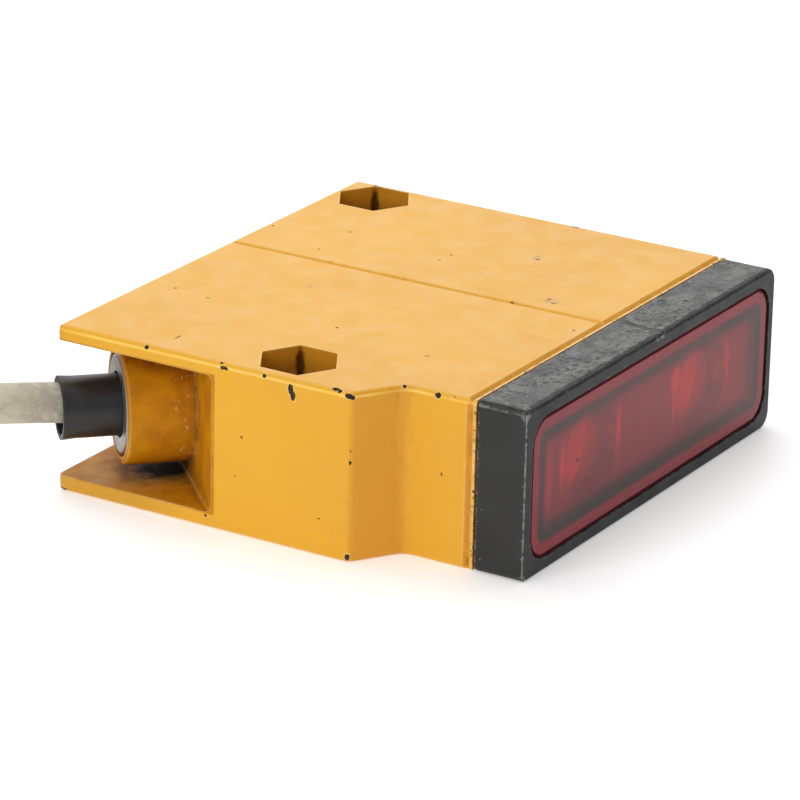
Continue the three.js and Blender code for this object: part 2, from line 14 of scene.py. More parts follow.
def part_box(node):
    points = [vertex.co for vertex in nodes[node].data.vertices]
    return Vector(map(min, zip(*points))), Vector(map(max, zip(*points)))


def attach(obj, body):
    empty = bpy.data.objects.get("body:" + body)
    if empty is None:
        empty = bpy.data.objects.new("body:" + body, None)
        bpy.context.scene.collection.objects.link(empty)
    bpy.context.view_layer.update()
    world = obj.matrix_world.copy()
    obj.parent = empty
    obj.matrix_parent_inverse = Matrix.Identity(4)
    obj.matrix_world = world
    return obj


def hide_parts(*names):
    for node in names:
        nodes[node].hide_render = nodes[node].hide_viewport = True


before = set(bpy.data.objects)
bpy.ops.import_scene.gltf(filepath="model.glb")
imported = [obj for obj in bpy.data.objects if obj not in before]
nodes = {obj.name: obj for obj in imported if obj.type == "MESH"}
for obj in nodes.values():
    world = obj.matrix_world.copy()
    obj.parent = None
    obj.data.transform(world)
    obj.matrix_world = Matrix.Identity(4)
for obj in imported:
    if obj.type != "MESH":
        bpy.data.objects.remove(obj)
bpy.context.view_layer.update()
scene = bpy.context.scene

MM = 0.001
HOUSING_REAR = -0.5
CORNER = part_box("housing")[0] - Vector((HOUSING_REAR, 0, 0)) * MM
HOUSING_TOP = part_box("housing")[1].z / MM
MID_Z = HOUSING_TOP / 2


def at(x, y, z):
    """Corner millimetres to row-frame metres."""
    return CORNER + Vector((x, y, z)) * MM


# ------------------------------ camera
CAMERA_PLACE = (353.92, -498.58, 244.92)
CAMERA_TARGET = (37.86, 29.92, 12.3)
CAMERA_ROLL = 1.242
CAMERA_LENS = 208.54


def make_camera():
    place = at(*CAMERA_PLACE)
    back = (place - at(*CAMERA_TARGET)).normalized()
    right = Vector((0, 0, 1)).cross(back).normalized()
    up = back.cross(right)
    level = Matrix((right, up, back)).transposed()
    rolled = level @ Matrix.Rotation(math.radians(CAMERA_ROLL), 3, "Z")
    data = bpy.data.cameras.new("camera")
    data.lens = CAMERA_LENS
    data.sensor_width = 36
    data.clip_start = 0.01
    data.clip_end = 20
    camera = bpy.data.objects.new("camera", data)
    camera.matrix_world = Matrix.Translation(place) @ rolled.to_4x4()
    scene.collection.objects.link(camera)
    scene.camera = camera


make_camera()

# ------------------------------ cable
CABLE_R = 2.9
CABLE_SIDES = 20
COIL_CENTRE = (-67, -1.5)
COIL_RADII = (38.7, 32.9, 27.1)
COIL_HEIGHTS = (2.9, 8.7, 14.5)
TAIL_RADIUS = 30
TAIL_HEIGHT = 20.6
TAIL_END = 181          # degrees clockwise from +X, as all angles along the coil
COIL_START = 80
POINTS_PER_TURN = 30
STEPS_PER_POINT = 3
SHIFT_DEGREES = 100     # a turn takes this long to move over to the next one
CLIMB_DEGREES = 90      # and this long to climb to the next layer
STAGGER = 16            # each layer's changes come this much earlier than the last's
CLIMB_LEAD = 8


def on_diagonal(distance, rise=0.0):
    side = distance * math.sqrt(0.5)
    return (side, side, MID_Z + rise)


CABLE_ROUTE = [
    on_diagonal(23.2),
    on_diagonal(18),
    on_diagonal(13),
    on_diagonal(8, 0.1),
    on_diagonal(4, 0.35),
    on_diagonal(0, 0.8),
    (-3.6, -3.4, 13.4),
    (-7.4, -7, 13.4),
    (-12.5, -12, 12.2),
    (-18, -17.6, 9.5),
    (-23.5, -23.5, 6.2),
    (-28.6, -29.2, 3.8),
    (-33.4, -34.4, 3),
    (-41.5, -38.4, 2.95),
    (-51, -39.9, 2.9),
]


def eased(share):
    share = min(max(share, 0), 1)
    return (1 - math.cos(math.pi * share)) / 2


def coil_levels():
    """(radius, height) of each turn in winding order, and of the tail on top."""
    levels = []
    for layer, height in enumerate(COIL_HEIGHTS):
        radii = COIL_RADII if layer % 2 == 0 else COIL_RADII[::-1]
        levels += [(radius, height) for radius in radii]
    return levels + [(TAIL_RADIUS, TAIL_HEIGHT)]


def coil_points():
    levels = coil_levels()
    turns = len(levels) - 1
    changes = []
    for turn in range(turns):
        climbs = levels[turn + 1][1] != levels[turn][1]
        steps_back = 2 * (turn // len(COIL_RADII)) + (1 if climbs else 0)
        middle = COIL_START - SHIFT_DEGREES / 2 + 360 * (turn + 1) - STAGGER * steps_back
        middle -= CLIMB_LEAD if climbs else 0
        width = CLIMB_DEGREES if climbs else SHIFT_DEGREES
        changes.append((middle - width / 2, width))
    last = 360 * turns + TAIL_END
    count = round((last - COIL_START) * POINTS_PER_TURN / 360)
    points = []
    for i in range(count + 1):
        turned = COIL_START + (last - COIL_START) * i / count
        radius, height = levels[0]
        for (start, width), before, after in zip(changes, levels, levels[1:]):
            share = eased((turned - start) / width)
            radius += (after[0] - before[0]) * share
            height += (after[1] - before[1]) * share
        angle = math.radians(-turned)
        points.append((COIL_CENTRE[0] + radius * math.cos(angle),
                       COIL_CENTRE[1] + radius * math.sin(angle), height))
    return points


def smoothed(points, steps):
    """Points along a Catmull-Rom curve through the given ones."""
    padded = [2 * points[0] - points[1], *points, 2 * points[-1] - points[-2]]
    line = []
    for a, b, c, d in zip(padded, padded[1:], padded[2:], padded[3:]):
        for step in range(steps):
            t = step / steps
            line.append(0.5 * (2 * b + (c - a) * t + (2 * a - 5 * b + 4 * c - d) * t * t
                               + (3 * b - a - 3 * c + d) * t ** 3))
    return line + [points[-1]]


def tube(name, line, radius_at, sides):
    """A closed round tube along a line; radius_at gives its radius at a share of it."""
    mesh = bmesh.new()
    rings = []
    ahead = (line[1] - line[0]).normalized()
    across = ahead.orthogonal().normalized()
    for i, point in enumerate(line):
        after = line[min(i + 1, len(line) - 1)]
        before = line[max(i - 1, 0)]
        ahead = (after - before).normalized()
        across = (across - ahead * across.dot(ahead)).normalized()
        side = ahead.cross(across)
        radius = radius_at(i / (len(line) - 1))
        ring = []
        for k in range(sides):
            angle = 2 * math.pi * k / sides
            ring.append(mesh.verts.new(
                point + (across * math.cos(angle) + side * math.sin(angle)) * radius))
        rings.append(ring)
    for low, high in zip(rings, rings[1:]):
        for k in range(sides):
            after = (k + 1) % sides
            mesh.faces.new((low[k], low[after], high[after], high[k])).smooth = True
    mesh.faces.new(rings[0][::-1])
    mesh.faces.new(rings[-1])
    data = bpy.data.meshes.new(name)
    mesh.to_mesh(data)
    mesh.free()
    piece = bpy.data.objects.new(name, data)
    scene.collection.objects.link(piece)
    return piece


def make_cable():
    points = [at(*point) for point in CABLE_ROUTE + coil_points()]
    line = smoothed(points, STEPS_PER_POINT)
    piece = tube("cable", line, lambda share: CABLE_R * MM, CABLE_SIDES)
    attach(piece, "sensor")
    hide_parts("cable_run", "cable_coil", "cable_tail")
    return piece


cable = make_cable()


# ------------------------------ material builder
class Look:
    """A procedural material under construction. Lengths are in metres."""

    def __init__(self, name):
        self.material = bpy.data.materials.new(name)
        self.material.use_nodes = True
        self.tree = self.material.node_tree
        self.shader = self.tree.nodes["Principled BSDF"]
        self.place = self.node("ShaderNodeTexCoord").outputs["Object"]
        self.geometry = self.node("ShaderNodeNewGeometry")

    def node(self, kind, inputs=None, **settings):
        made = self.tree.nodes.new(kind)
        for key, value in settings.items():
            setattr(made, key, value)
        for key, value in (inputs or {}).items():
            self.feed(made.inputs[key], value)
        return made

    def feed(self, socket, value):
        if isinstance(value, bpy.types.NodeSocket):
            self.tree.links.new(value, socket)
        elif isinstance(value, tuple) and len(value) == 3 and socket.type == "RGBA":
            socket.default_value = (*value, 1)
        else:
            socket.default_value = value

    def set(self, **values):
        for key, value in values.items():
            self.feed(self.shader.inputs[key.replace("_", " ")], value)
        return self

    def math(self, operation, a, b=0.0):
        inputs = {0: a} if operation in ("ABSOLUTE", "SQRT", "SINE") else {0: a, 1: b}
        return self.node("ShaderNodeMath", inputs, operation=operation).outputs[0]

    def vector(self, operation, a, b):
        made = self.node("ShaderNodeVectorMath", {0: a, 1: b}, operation=operation)
        scalar = operation in ("LENGTH", "DOT_PRODUCT", "DISTANCE")
        return made.outputs["Value" if scalar else "Vector"]

    def noise(self, size, detail=3.0, rough=0.55, stretch=None, offset=None):
        """Noise from 0 to 1 whose largest features are about size across."""
        place = self.place
        if stretch:
            place = self.vector("MULTIPLY", place, stretch)
        if offset:
            place = self.vector("ADD", place, offset)
        return self.node("ShaderNodeTexNoise", {
            "Vector": place, "Scale": 1 / size, "Detail": detail, "Roughness": rough,
        }).outputs["Fac"]

    def cells(self, size, randomness=1.0):
        """Distance from the nearest of many scattered points, in cell sizes."""
        return self.node("ShaderNodeTexVoronoi", {
            "Vector": self.place, "Scale": 1 / size, "Randomness": randomness,
        }).outputs["Distance"]

    def ramp(self, value, low, high, to_low=0.0, to_high=1.0):
        return self.node("ShaderNodeMapRange", {
            "Value": value, "From Min": low, "From Max": high,
            "To Min": to_low, "To Max": to_high,
        }, interpolation_type="SMOOTHSTEP").outputs["Result"]

    def mix(self, share, a, b):
        made = self.node("ShaderNodeMix", data_type="RGBA")
        self.feed(made.inputs[0], share)
        self.feed(made.inputs[6], a)
        self.feed(made.inputs[7], b)
        return made.outputs[2]

    def tint(self, colour, share, strength, other):
        """A colour with another laid over a share of it."""
        return self.mix(self.product(share, strength), colour, other)

    def blend(self, share, a, b):
        made = self.node("ShaderNodeMix", data_type="FLOAT")
        self.feed(made.inputs[0], share)
        self.feed(made.inputs[2], a)
        self.feed(made.inputs[3], b)
        return made.outputs[0]

    def axis(self, name):
        """One coordinate of the place, in metres."""
        return self.node("ShaderNodeSeparateXYZ", {0: self.place}).outputs[name]

    def away(self, name, middle):
        """Distance of one coordinate from a middle value, in metres."""
        return self.math("ABSOLUTE", self.math("SUBTRACT", self.axis(name), middle))

    def facing(self, name):
        """One coordinate of the surface normal."""
        normal = self.geometry.outputs["Normal"]
        return self.node("ShaderNodeSeparateXYZ", {0: normal}).outputs[name]

    def edges(self, radius):
        """1 on sharp edges, 0 on flat surfaces."""
        bevel = self.node("ShaderNodeBevel", {"Radius": radius}, samples=4)
        flat = self.vector("DOT_PRODUCT", bevel.outputs[0], self.geometry.outputs["Normal"])
        return self.ramp(self.inverse(flat), 0.01, 0.1)

    def corners(self, distance):
        """1 in inside corners, 0 on open surfaces."""
        shade = self.node("ShaderNodeAmbientOcclusion", {"Distance": distance},
                          samples=4, only_local=True)
        return self.ramp(shade.outputs["AO"], 0.85, 0.35)

    def ragged(self, size, amount):
        """The place, shaken by noise, for marks with uneven outlines."""
        made = self.node("ShaderNodeTexNoise", {
            "Vector": self.place, "Scale": 1 / size, "Detail": 3.0})
        centred = self.vector("SUBTRACT", made.outputs["Color"], (0.5, 0.5, 0.5))
        shaken = self.vector("MULTIPLY", centred, (amount, amount, amount))
        return self.vector("ADD", self.place, shaken)

    def depth_in(self, place, marks):
        """1 at the middle of a mark, 0 at its outline, negative outside every mark.

        Each mark is a centre and three radii in corner mm.
        """
        nearest = None
        for centre, radii in marks:
            offset = self.vector("SUBTRACT", place, tuple(at(*centre)))
            scaled = self.vector("MULTIPLY", offset, tuple(1 / (r * MM) for r in radii))
            away = self.vector("LENGTH", scaled, (0, 0, 0))
            nearest = away if nearest is None else self.math("MINIMUM", nearest, away)
        return self.inverse(nearest)

    def spots(self, place, marks):
        """1 inside any of the marks, 0 outside."""
        return self.ramp(self.depth_in(place, marks), -0.15, 0.25)

    def band(self, axis, low, high, soft=0.1):
        """1 where a coordinate in corner mm is between low and high."""
        start = at(low, low, low)["XYZ".index(axis)]
        end = at(high, high, high)["XYZ".index(axis)]
        value = self.axis(axis)
        rising = self.ramp(value, start - soft * MM, start + soft * MM)
        return self.product(rising, self.ramp(value, end + soft * MM, end - soft * MM))

    def product(self, *parts):
        total = parts[0]
        for part in parts[1:]:
            total = self.math("MULTIPLY", total, part)
        return total

    def highest(self, *parts):
        total = parts[0]
        for part in parts[1:]:
            total = self.math("MAXIMUM", total, part)
        return total

    def inverse(self, share):
        return self.math("SUBTRACT", 1.0, share)

    def bump(self, height, distance, strength=1.0, under=None):
        """A normal from a height of 0 to 1, laid over another normal if one is given."""
        inputs = {"Height": height, "Distance": distance, "Strength": strength}
        if under:
            inputs["Normal"] = under
        return self.node("ShaderNodeBump", inputs).outputs[0]


def dress(piece, look):
    piece.data.materials.clear()
    piece.data.materials.append(look.material)


# ------------------------------ painted housing
# Marks are a centre and three radii, in corner mm. These are chips along the edges.
EDGE_CHIPS = [
    ((14.6, 0.15, 24.5), (0.36, 0.3, 0.36)),
    ((27.5, 0, 24.1), (0.65, 0.3, 0.26)),
    ((26.9, 0.4, 24.7), (0.3, 0.2, 0.2)),
    ((34.1, 0.15, 24.3), (0.34, 0.35, 0.26)),
    ((38.4, 0, 23.3), (0.42, 0.3, 0.8)),
    ((38.75, 0, 22.4), (0.4, 0.3, 0.68)),
    ((45.4, 0.5, 24.7), (0.6, 0.35, 0.25)),
    ((46.1, 0.35, 24.6), (0.35, 0.3, 0.25)),
    ((47.6, 0.2, 24.2), (0.62, 0.4, 0.34)),
    ((48.2, 0.3, 24), (0.3, 0.35, 0.4)),
    ((48.1, 0.1, 20.4), (0.12, 0.2, 0.35)),
    ((48.1, 0.1, 18.6), (0.1, 0.2, 0.22)),
    ((48, 0.1, 16.2), (0.14, 0.2, 0.3)),
    ((48, 0.1, 14.6), (0.2, 0.25, 0.4)),
    ((48.1, 0.1, 9.6), (0.12, 0.2, 0.3)),
    ((48.1, 0.1, 6.1), (0.1, 0.2, 0.25)),
    ((47.8, 0.1, 0.7), (0.35, 0.35, 0.5)),
    ((52.4, 6.8, 24.6), (0.35, 0.35, 0.25)),
    ((57.4, 7.2, 24.3), (0.4, 0.35, 0.5)),
    ((59.8, 7.3, 24.6), (0.3, 0.25, 0.2)),
    ((-0.3, 0.5, 24.5), (0.35, 0.9, 0.35)),
    ((-0.3, 0.2, 23.6), (0.25, 0.3, 0.6)),
    ((-0.35, 0.2, 1.2), (0.28, 0.35, 1.0)),
    ((0.2, 0.1, 0.2), (0.9, 0.3, 0.22)),
    ((24.6, 0.1, 1.6), (0.25, 0.3, 0.2)),
    ((38.5, 79.1, 24.7), (0.8, 0.4, 0.25)),
    ((3.4, 79.1, 24.7), (0.4, 0.4, 0.25)),
    ((0.2, 79.2, 24.4), (0.6, 0.5, 0.4)),
]
# Small marks on the flat faces: x, y and two radii on the top, then whole marks.
TOP_MARKS = [
    (4.6, 22.2, 0.28, 0.3), (10.8, 21.3, 0.3, 0.26), (16.4, 5.3, 0.2, 0.85),
    (12, 57.8, 0.28, 0.24), (12.3, 48.5, 0.2, 0.35), (29.5, 54.4, 0.35, 0.2),
    (29.7, 57.3, 0.2, 0.3), (52.6, 47.4, 0.45, 0.3), (51.3, 48.4, 0.25, 0.55),
    (47.3, 44.4, 0.6, 0.35), (60.6, 39, 0.25, 0.3), (48.9, 18.4, 0.5, 0.14),
    (41.2, 62.8, 0.5, 0.3),
]
SIDE_MARKS = [
    ((30.5, 0, 14.6), (0.2, 0.3, 0.24)),
    ((29.4, 0, 8.6), (0.16, 0.3, 0.16)),
    ((58.3, 7.1, 13), (0.2, 0.3, 0.3)),
    ((43.2, 0, 5.4), (0.35, 0.3, 0.12)),
]
SMEARS = [
    ((40.8, 63.3, HOUSING_TOP), (0.9, 1.4, 0.5)),
    ((37.3, 52.2, HOUSING_TOP), (0.6, 1.2, 0.5)),
    ((5.5, 77.9, HOUSING_TOP), (2.2, 1.8, 1.0)),
    ((20, 34, HOUSING_TOP), (0.5, 0.9, 0.5)),
    ((52, 48.2, HOUSING_TOP), (1.5, 1.2, 0.5)),
]
BOLT_PLACES = ((35.24, 7.03), (6.5, 73.4))
HEX_REACH = 6.25        # just past the corners of a nut pocket
TALL = 60               # a radius that takes in the whole height
WING_REACH = 10.4       # half the height of the cable pocket, and a little
CORNER_CUT = 25.5       # the cable pocket is where x + y is under this
BOSS_ROOT = 18          # along the diagonal, where the boss meets the pocket's wall
HOUSING_FRONT = 63.45
CREST_TOP = HOUSING_TOP - 0.32          # a painted highlight line under the top's edge
CREST_FOOT = HOUSING_TOP - 0.8

YELLOW = (0.79, 0.395, 0.004)
YELLOW_DULL = (0.75, 0.365, 0.004)
YELLOW_DEEP = (0.62, 0.27, 0.008)
WORN_AND_HIGHLIT_YELLOW = (0.88, 0.6, 0.26)
NUT_POCKET_SHADE_BROWN = (0.63, 0.275, 0.02)
POCKET_SHADE_DARK = (0.03, 0.012, 0.002)
CABLE_POCKET_SHADE = (0.42, 0.138, 0.003)
CORNER_GRIME_AND_SHADE = (0.1, 0.05, 0.018)
BARE_DARK = (0.02, 0.014, 0.01)
BARE_GREY = (0.13, 0.125, 0.12)
HANDLED_YELLOW = (0.5, 0.27, 0.03)
STREAK_BROWN = (0.5, 0.19, 0.004)
SLOPE_SHADE_YELLOW = (0.74, 0.315, 0.003)
LOW_WING_SHADE_YELLOW = (0.52, 0.24, 0.012)
BOSS_SHADOW_BLACK = (0.01, 0.006, 0.003)
GRIT_WHITE = (0.72, 0.66, 0.56)
LIP_PALE = (0.86, 0.6, 0.3)
CHIP_RIM = (0.9, 0.62, 0.28)
MARK_BROWN = (0.12, 0.055, 0.015)
SMEAR_BROWN = (0.3, 0.17, 0.06)
SHOULDER_SHADE_YELLOW = (0.66, 0.33, 0.03)
CREST_HIGHLIGHT_YELLOW = (0.98, 0.6, 0.1)
STEP_FOOT = ((52.4, 6.4, MID_Z), (2.6, 1.6, TALL))      # where the near side steps in
LOW_WING_EDGE = ((3, 0, 1.2), (17, 1.5, 2.2))
UNDER_BOSS = ((*on_diagonal(BOSS_ROOT - 3.2)[:2], MID_Z - WING_REACH + 0.4), (4.4, 4.4, 1.7))


def hidden_faces(look):
    """1 on the walls of the nut pockets, and 1 on the walls of the cable pocket."""
    bolts = [((x, y, HOUSING_TOP), (HEX_REACH, HEX_REACH, TALL)) for x, y in BOLT_PLACES]
    sunk = look.ramp(look.axis("Z"), (HOUSING_TOP - 0.05) * MM, (HOUSING_TOP - 0.3) * MM)
    nut = look.product(look.ramp(look.depth_in(look.place, bolts), -0.014, 0.01), sunk,
                       look.ramp(look.axis("Z"), 0.5 * MM, 1.5 * MM))
    across = look.math("ADD", look.axis("X"), look.axis("Y"))
    limit = CORNER.x + CORNER.y + (CORNER_CUT + 0.5) * MM
    cable_side = look.product(look.ramp(across, limit + 0.2 * MM, limit - 0.2 * MM),
                              look.band("Z", MID_Z - WING_REACH, MID_Z + WING_REACH))
    return nut, cable_side


def base_coat(look, cable_side):
    """Yellow, unevenly faded, with painted shade on the inclined face of the near side."""
    colour = look.mix(look.ramp(look.noise(0.03, 4), 0.35, 0.7), YELLOW, YELLOW_DULL)
    stain = look.ramp(look.noise(0.007, 6, 0.68), 0.55, 0.78, 0, 0.16)
    colour = look.mix(stain, colour, YELLOW_DEEP)
    handled = look.ramp(look.noise(0.0012, 5, 0.7), 0.52, 0.72, 0, 0.12)
    colour = look.mix(handled, colour, HANDLED_YELLOW)
    # Painted shade: faces turned like the inclined face of the near side are deeper yellow.
    slope_shade = look.product(look.ramp(look.facing("X"), 0.35, 0.6),
                         look.ramp(look.facing("Y"), -0.15, -0.35),
                         look.inverse(cable_side))
    return look.tint(colour, slope_shade, 0.7, SLOPE_SHADE_YELLOW)


def soiled_and_shaded_coat(look, colour, nut, cable_side):
    """Painted shade in the nut pockets and the cable pocket, a painted shadow under the boss,
    streaks, grit, and inside corners darkened as soiling and painted shade; also gives the
    corner mask and the shadow mask.
    """
    # Painted shade: the walls of the nut pockets are darkened towards brown.
    nut_pocket_shade = look.product(nut, look.ramp(look.noise(0.003, 4), 0.2, 0.7, 0.85, 1.0))
    colour = look.mix(nut_pocket_shade, colour, NUT_POCKET_SHADE_BROWN)
    # Painted shade: the cable pocket under the top wing is darkened towards orange-brown.
    cable_pocket_shade = look.product(cable_side,
                        look.ramp(look.noise(0.004, 5, 0.65), 0.25, 0.75, 0.5, 0.95))
    colour = look.mix(cable_pocket_shade, colour, CABLE_POCKET_SHADE)
    streaks = look.product(
        look.spots(look.place, [STEP_FOOT]),
        look.ramp(look.noise(0.0018, 6, 0.7, stretch=(1, 1, 0.25)), 0.45, 0.75, 0, 0.4))
    colour = look.mix(streaks, colour, STREAK_BROWN)
    # Painted shade: the low near edge of the lower wing is darker yellow.
    low_wing_shade = look.ramp(look.depth_in(look.place, [LOW_WING_EDGE]), -0.2, 0.5)
    colour = look.tint(colour, low_wing_shade, 0.45, LOW_WING_SHADE_YELLOW)

    # Inside corners found by occlusion are darkened: soiling and painted shade.
    tight = look.corners(0.004)
    corner_soiling_and_shade = look.product(tight, look.ramp(look.noise(0.0016, 6, 0.75), 0.38, 0.6))
    colour = look.tint(colour, corner_soiling_and_shade, 0.75, CORNER_GRIME_AND_SHADE)
    # Painted shade: the nut pockets darken towards near-black deeper down and in a corner nook.
    sinking = look.ramp(look.axis("Z"), (HOUSING_TOP - 0.5) * MM, (HOUSING_TOP - 4.5) * MM)
    nooks = [((x - 3, y + 5.2, HOUSING_TOP - 3), (0.9, 0.9, 3.2)) for x, y in BOLT_PLACES]
    nooks = look.ramp(look.depth_in(look.ragged(0.0012, 0.001), nooks), -0.2, 0.5)
    uneven = look.ramp(look.noise(0.0012, 5, 0.7), 0.3, 0.7, 0.2, 0.6)
    deep = look.product(nut, look.highest(nooks, look.product(sinking, uneven)))
    colour = look.tint(colour, deep, 0.9, POCKET_SHADE_DARK)
    # Painted shade: the cable pocket's floor is darkened low down in its inside corners.
    low_floor_shade = look.product(cable_side, look.ramp(tight, 0.45, 0.9),
                             look.ramp(look.axis("Z"), 5 * MM, 3 * MM))
    colour = look.tint(colour, low_floor_shade, 0.35, POCKET_SHADE_DARK)
    # Painted shadow: the gap under the boss is near-black and less shiny.
    boss_shadow = look.ramp(look.depth_in(look.ragged(0.003, 0.0012), [UNDER_BOSS]), -0.1, 0.45)
    colour = look.tint(colour, boss_shadow, 0.97, BOSS_SHADOW_BLACK)
    root = look.vector("DISTANCE", look.place, tuple(at(*on_diagonal(BOSS_ROOT))))
    grit = look.product(look.ramp(root, 8.2 * MM, 8.5 * MM), look.ramp(root, 9.5 * MM, 8.9 * MM),
                        look.ramp(look.noise(0.0006, 4, 0.65), 0.6, 0.65), cable_side,
                        look.ramp(look.noise(0.003, 2), 0.46, 0.56))
    return look.tint(colour, grit, 0.85, GRIT_WHITE), corner_soiling_and_shade, boss_shadow


def worn_and_highlit_coat(look, colour, nut, cable_side):
    """Paler worn edges with a painted highlight, a painted shade band and a painted highlight
    line under the top's edge, and a pale front lip; also gives 1 where an edge is rubbed bare.
    """
    edge = look.product(look.edges(0.0005), look.inverse(nut))
    # Paler edges: wear, and a painted highlight along the rounded edges.
    edge_wear_and_highlight = look.product(edge, look.ramp(look.noise(0.005, 4), 0.35, 0.7, 0.2, 0.7))
    colour = look.mix(edge_wear_and_highlight, colour, WORN_AND_HIGHLIT_YELLOW)
    walls = look.product(look.ramp(look.math("ABSOLUTE", look.facing("Z")), 0.6, 0.3),
                         look.inverse(nut), look.inverse(cable_side))
    # Painted shade: a deeper yellow band along the top of the side walls, where the rounded edge
    # turns.
    shoulder_shade = look.product(walls, look.band("Z", CREST_TOP, HOUSING_TOP + 1, 0.08))
    colour = look.tint(colour, shoulder_shade, 0.85, SHOULDER_SHADE_YELLOW)
    # Painted highlight: a pale line on the side walls just under the rounded top edge.
    crest_highlight = look.product(walls, look.band("Z", CREST_FOOT, CREST_TOP, 0.1),
                         look.ramp(look.noise(0.006, 3), 0.35, 0.65, 0.45, 1.0))
    colour = look.mix(crest_highlight, colour, CREST_HIGHLIGHT_YELLOW)
    front = look.band("X", HOUSING_FRONT - 0.32, HOUSING_FRONT + 1)
    lip = look.product(front, look.ramp(look.noise(0.0009, 6, 0.7), 0.42, 0.62))
    colour = look.tint(colour, lip, 0.6, LIP_PALE)
    nicked = look.product(front, look.ramp(look.noise(0.0008, 5, 0.75), 0.57, 0.61))
    rubbed = look.product(edge, look.ramp(look.noise(0.0016, 6, 0.7), 0.63, 0.68))
    return colour, look.highest(rubbed, nicked)


def chipped_coat(look, colour, rubbed):
    """Chips, specks, marks and smears; also gives the bare places and the marks."""
    top_marks = [((x, y, HOUSING_TOP), (a, b, 0.3)) for x, y, a, b in TOP_MARKS]
    shaken = look.ragged(0.0004, 0.00045)
    depth = look.depth_in(shaken, EDGE_CHIPS)
    chips = look.ramp(depth, -0.1, 0.15)
    rim = look.product(look.ramp(depth, -0.55, -0.25), look.ramp(depth, 0.0, -0.15),
                       look.ramp(look.noise(0.0006, 3), 0.42, 0.58, 0, 0.55))
    colour = look.mix(rim, colour, CHIP_RIM)
    marks = look.ramp(look.depth_in(shaken, top_marks + SIDE_MARKS), -0.3, 0.5)
    colour = look.tint(colour, marks, 0.9, MARK_BROWN)
    sparse = look.ramp(look.noise(0.012, 2, offset=(0.3, 0.1, 0.7)), 0.61, 0.65)
    specks = look.product(look.ramp(look.cells(0.0045), 0.055, 0.04), sparse)
    smears = look.product(look.spots(look.ragged(0.001, 0.0012), SMEARS),
                          look.ramp(look.noise(0.0007, 5, 0.7), 0.4, 0.65, 0, 0.6))
    colour = look.mix(smears, colour, SMEAR_BROWN)
    scraped = look.product(look.ramp(depth, 0.3, 0.6),
                           look.ramp(look.noise(0.0005, 3), 0.5, 0.6))
    bare = look.highest(chips, specks, rubbed)
    return look.mix(bare, colour, look.mix(scraped, BARE_DARK, BARE_GREY)), bare, marks


def yellow_paint():
    look = Look("yellow_paint")
    nut, cable_side = hidden_faces(look)
    colour = base_coat(look, cable_side)
    colour, corner_soiling_and_shade, boss_shadow = soiled_and_shaded_coat(look, colour, nut, cable_side)
    colour, rubbed = worn_and_highlit_coat(look, colour, nut, cable_side)
    colour, bare, marks = chipped_coat(look, colour, rubbed)

    rough = look.ramp(look.noise(0.004, 5), 0.3, 0.7, 0.36, 0.5)
    rough = look.blend(look.highest(bare, corner_soiling_and_shade), rough, 0.65)
    peel = look.bump(look.noise(0.0011, 2), 0.00003, 0.5)
    fine = look.bump(look.noise(0.00028, 2), 0.00001, 0.35, peel)
    pits = look.bump(look.inverse(bare), 0.00008, 1.0, fine)
    look.set(Base_Color=colour, Roughness=rough, Normal=pits)
    shine = look.blend(look.highest(nut, cable_side), 0.5, 0.12)
    shine = look.blend(look.highest(bare, marks), shine, 0.2)
    look.set(Specular_IOR_Level=look.blend(boss_shadow, shine, 0.02), IOR=1.5)
    return look


# ------------------------------ black bezel
BEZEL_REAR = 63.75
BEZEL_FRONT = 71.5
BEZEL_NEAR = 6.93
BEZEL_TOP = 24.95
GOUGE = [
    ((64.1, 46.0, BEZEL_TOP), (0.7, 1.3, 0.6)),
    ((65.3, 45.5, BEZEL_TOP), (1.4, 0.8, 0.6)),
    ((67.4, 45.2, BEZEL_TOP), (1.6, 0.7, 0.6)),
    ((69.4, 44.9, BEZEL_TOP), (1.3, 0.65, 0.6)),
    ((70.8, 44.5, BEZEL_TOP), (0.9, 1.5, 0.8)),
    ((66.9, 47.6, BEZEL_TOP), (1.5, 0.45, 0.5)),
]
NEAR_CORNERS = [
    ((BEZEL_FRONT, BEZEL_NEAR, BEZEL_TOP - 0.6), (0.9, 1.1, 1.3)),
    ((BEZEL_FRONT, BEZEL_NEAR, 0.4), (0.8, 0.8, 0.7)),
]
BLACK = (0.01, 0.0112, 0.0105)
BLACK_FADED = (0.017, 0.0185, 0.0175)
CHALK_FILM_AND_SHEEN = (0.075, 0.076, 0.074)
CHALK_FLAKE = (0.23, 0.232, 0.223)
PIT_BLACK = (0.006, 0.006, 0.007)
GLINT_HIGHLIGHT_GREY = (0.48, 0.48, 0.44)
GOUGE_RIM = (0.33, 0.33, 0.31)
GOUGE_BLACK = (0.006, 0.006, 0.006)
TORN_BLACK = (0.005, 0.005, 0.005)
SCRATCH_GREY = (0.36, 0.36, 0.345)
REAR_TAN = (0.62, 0.44, 0.26)
DUST_GREY = (0.35, 0.35, 0.33)


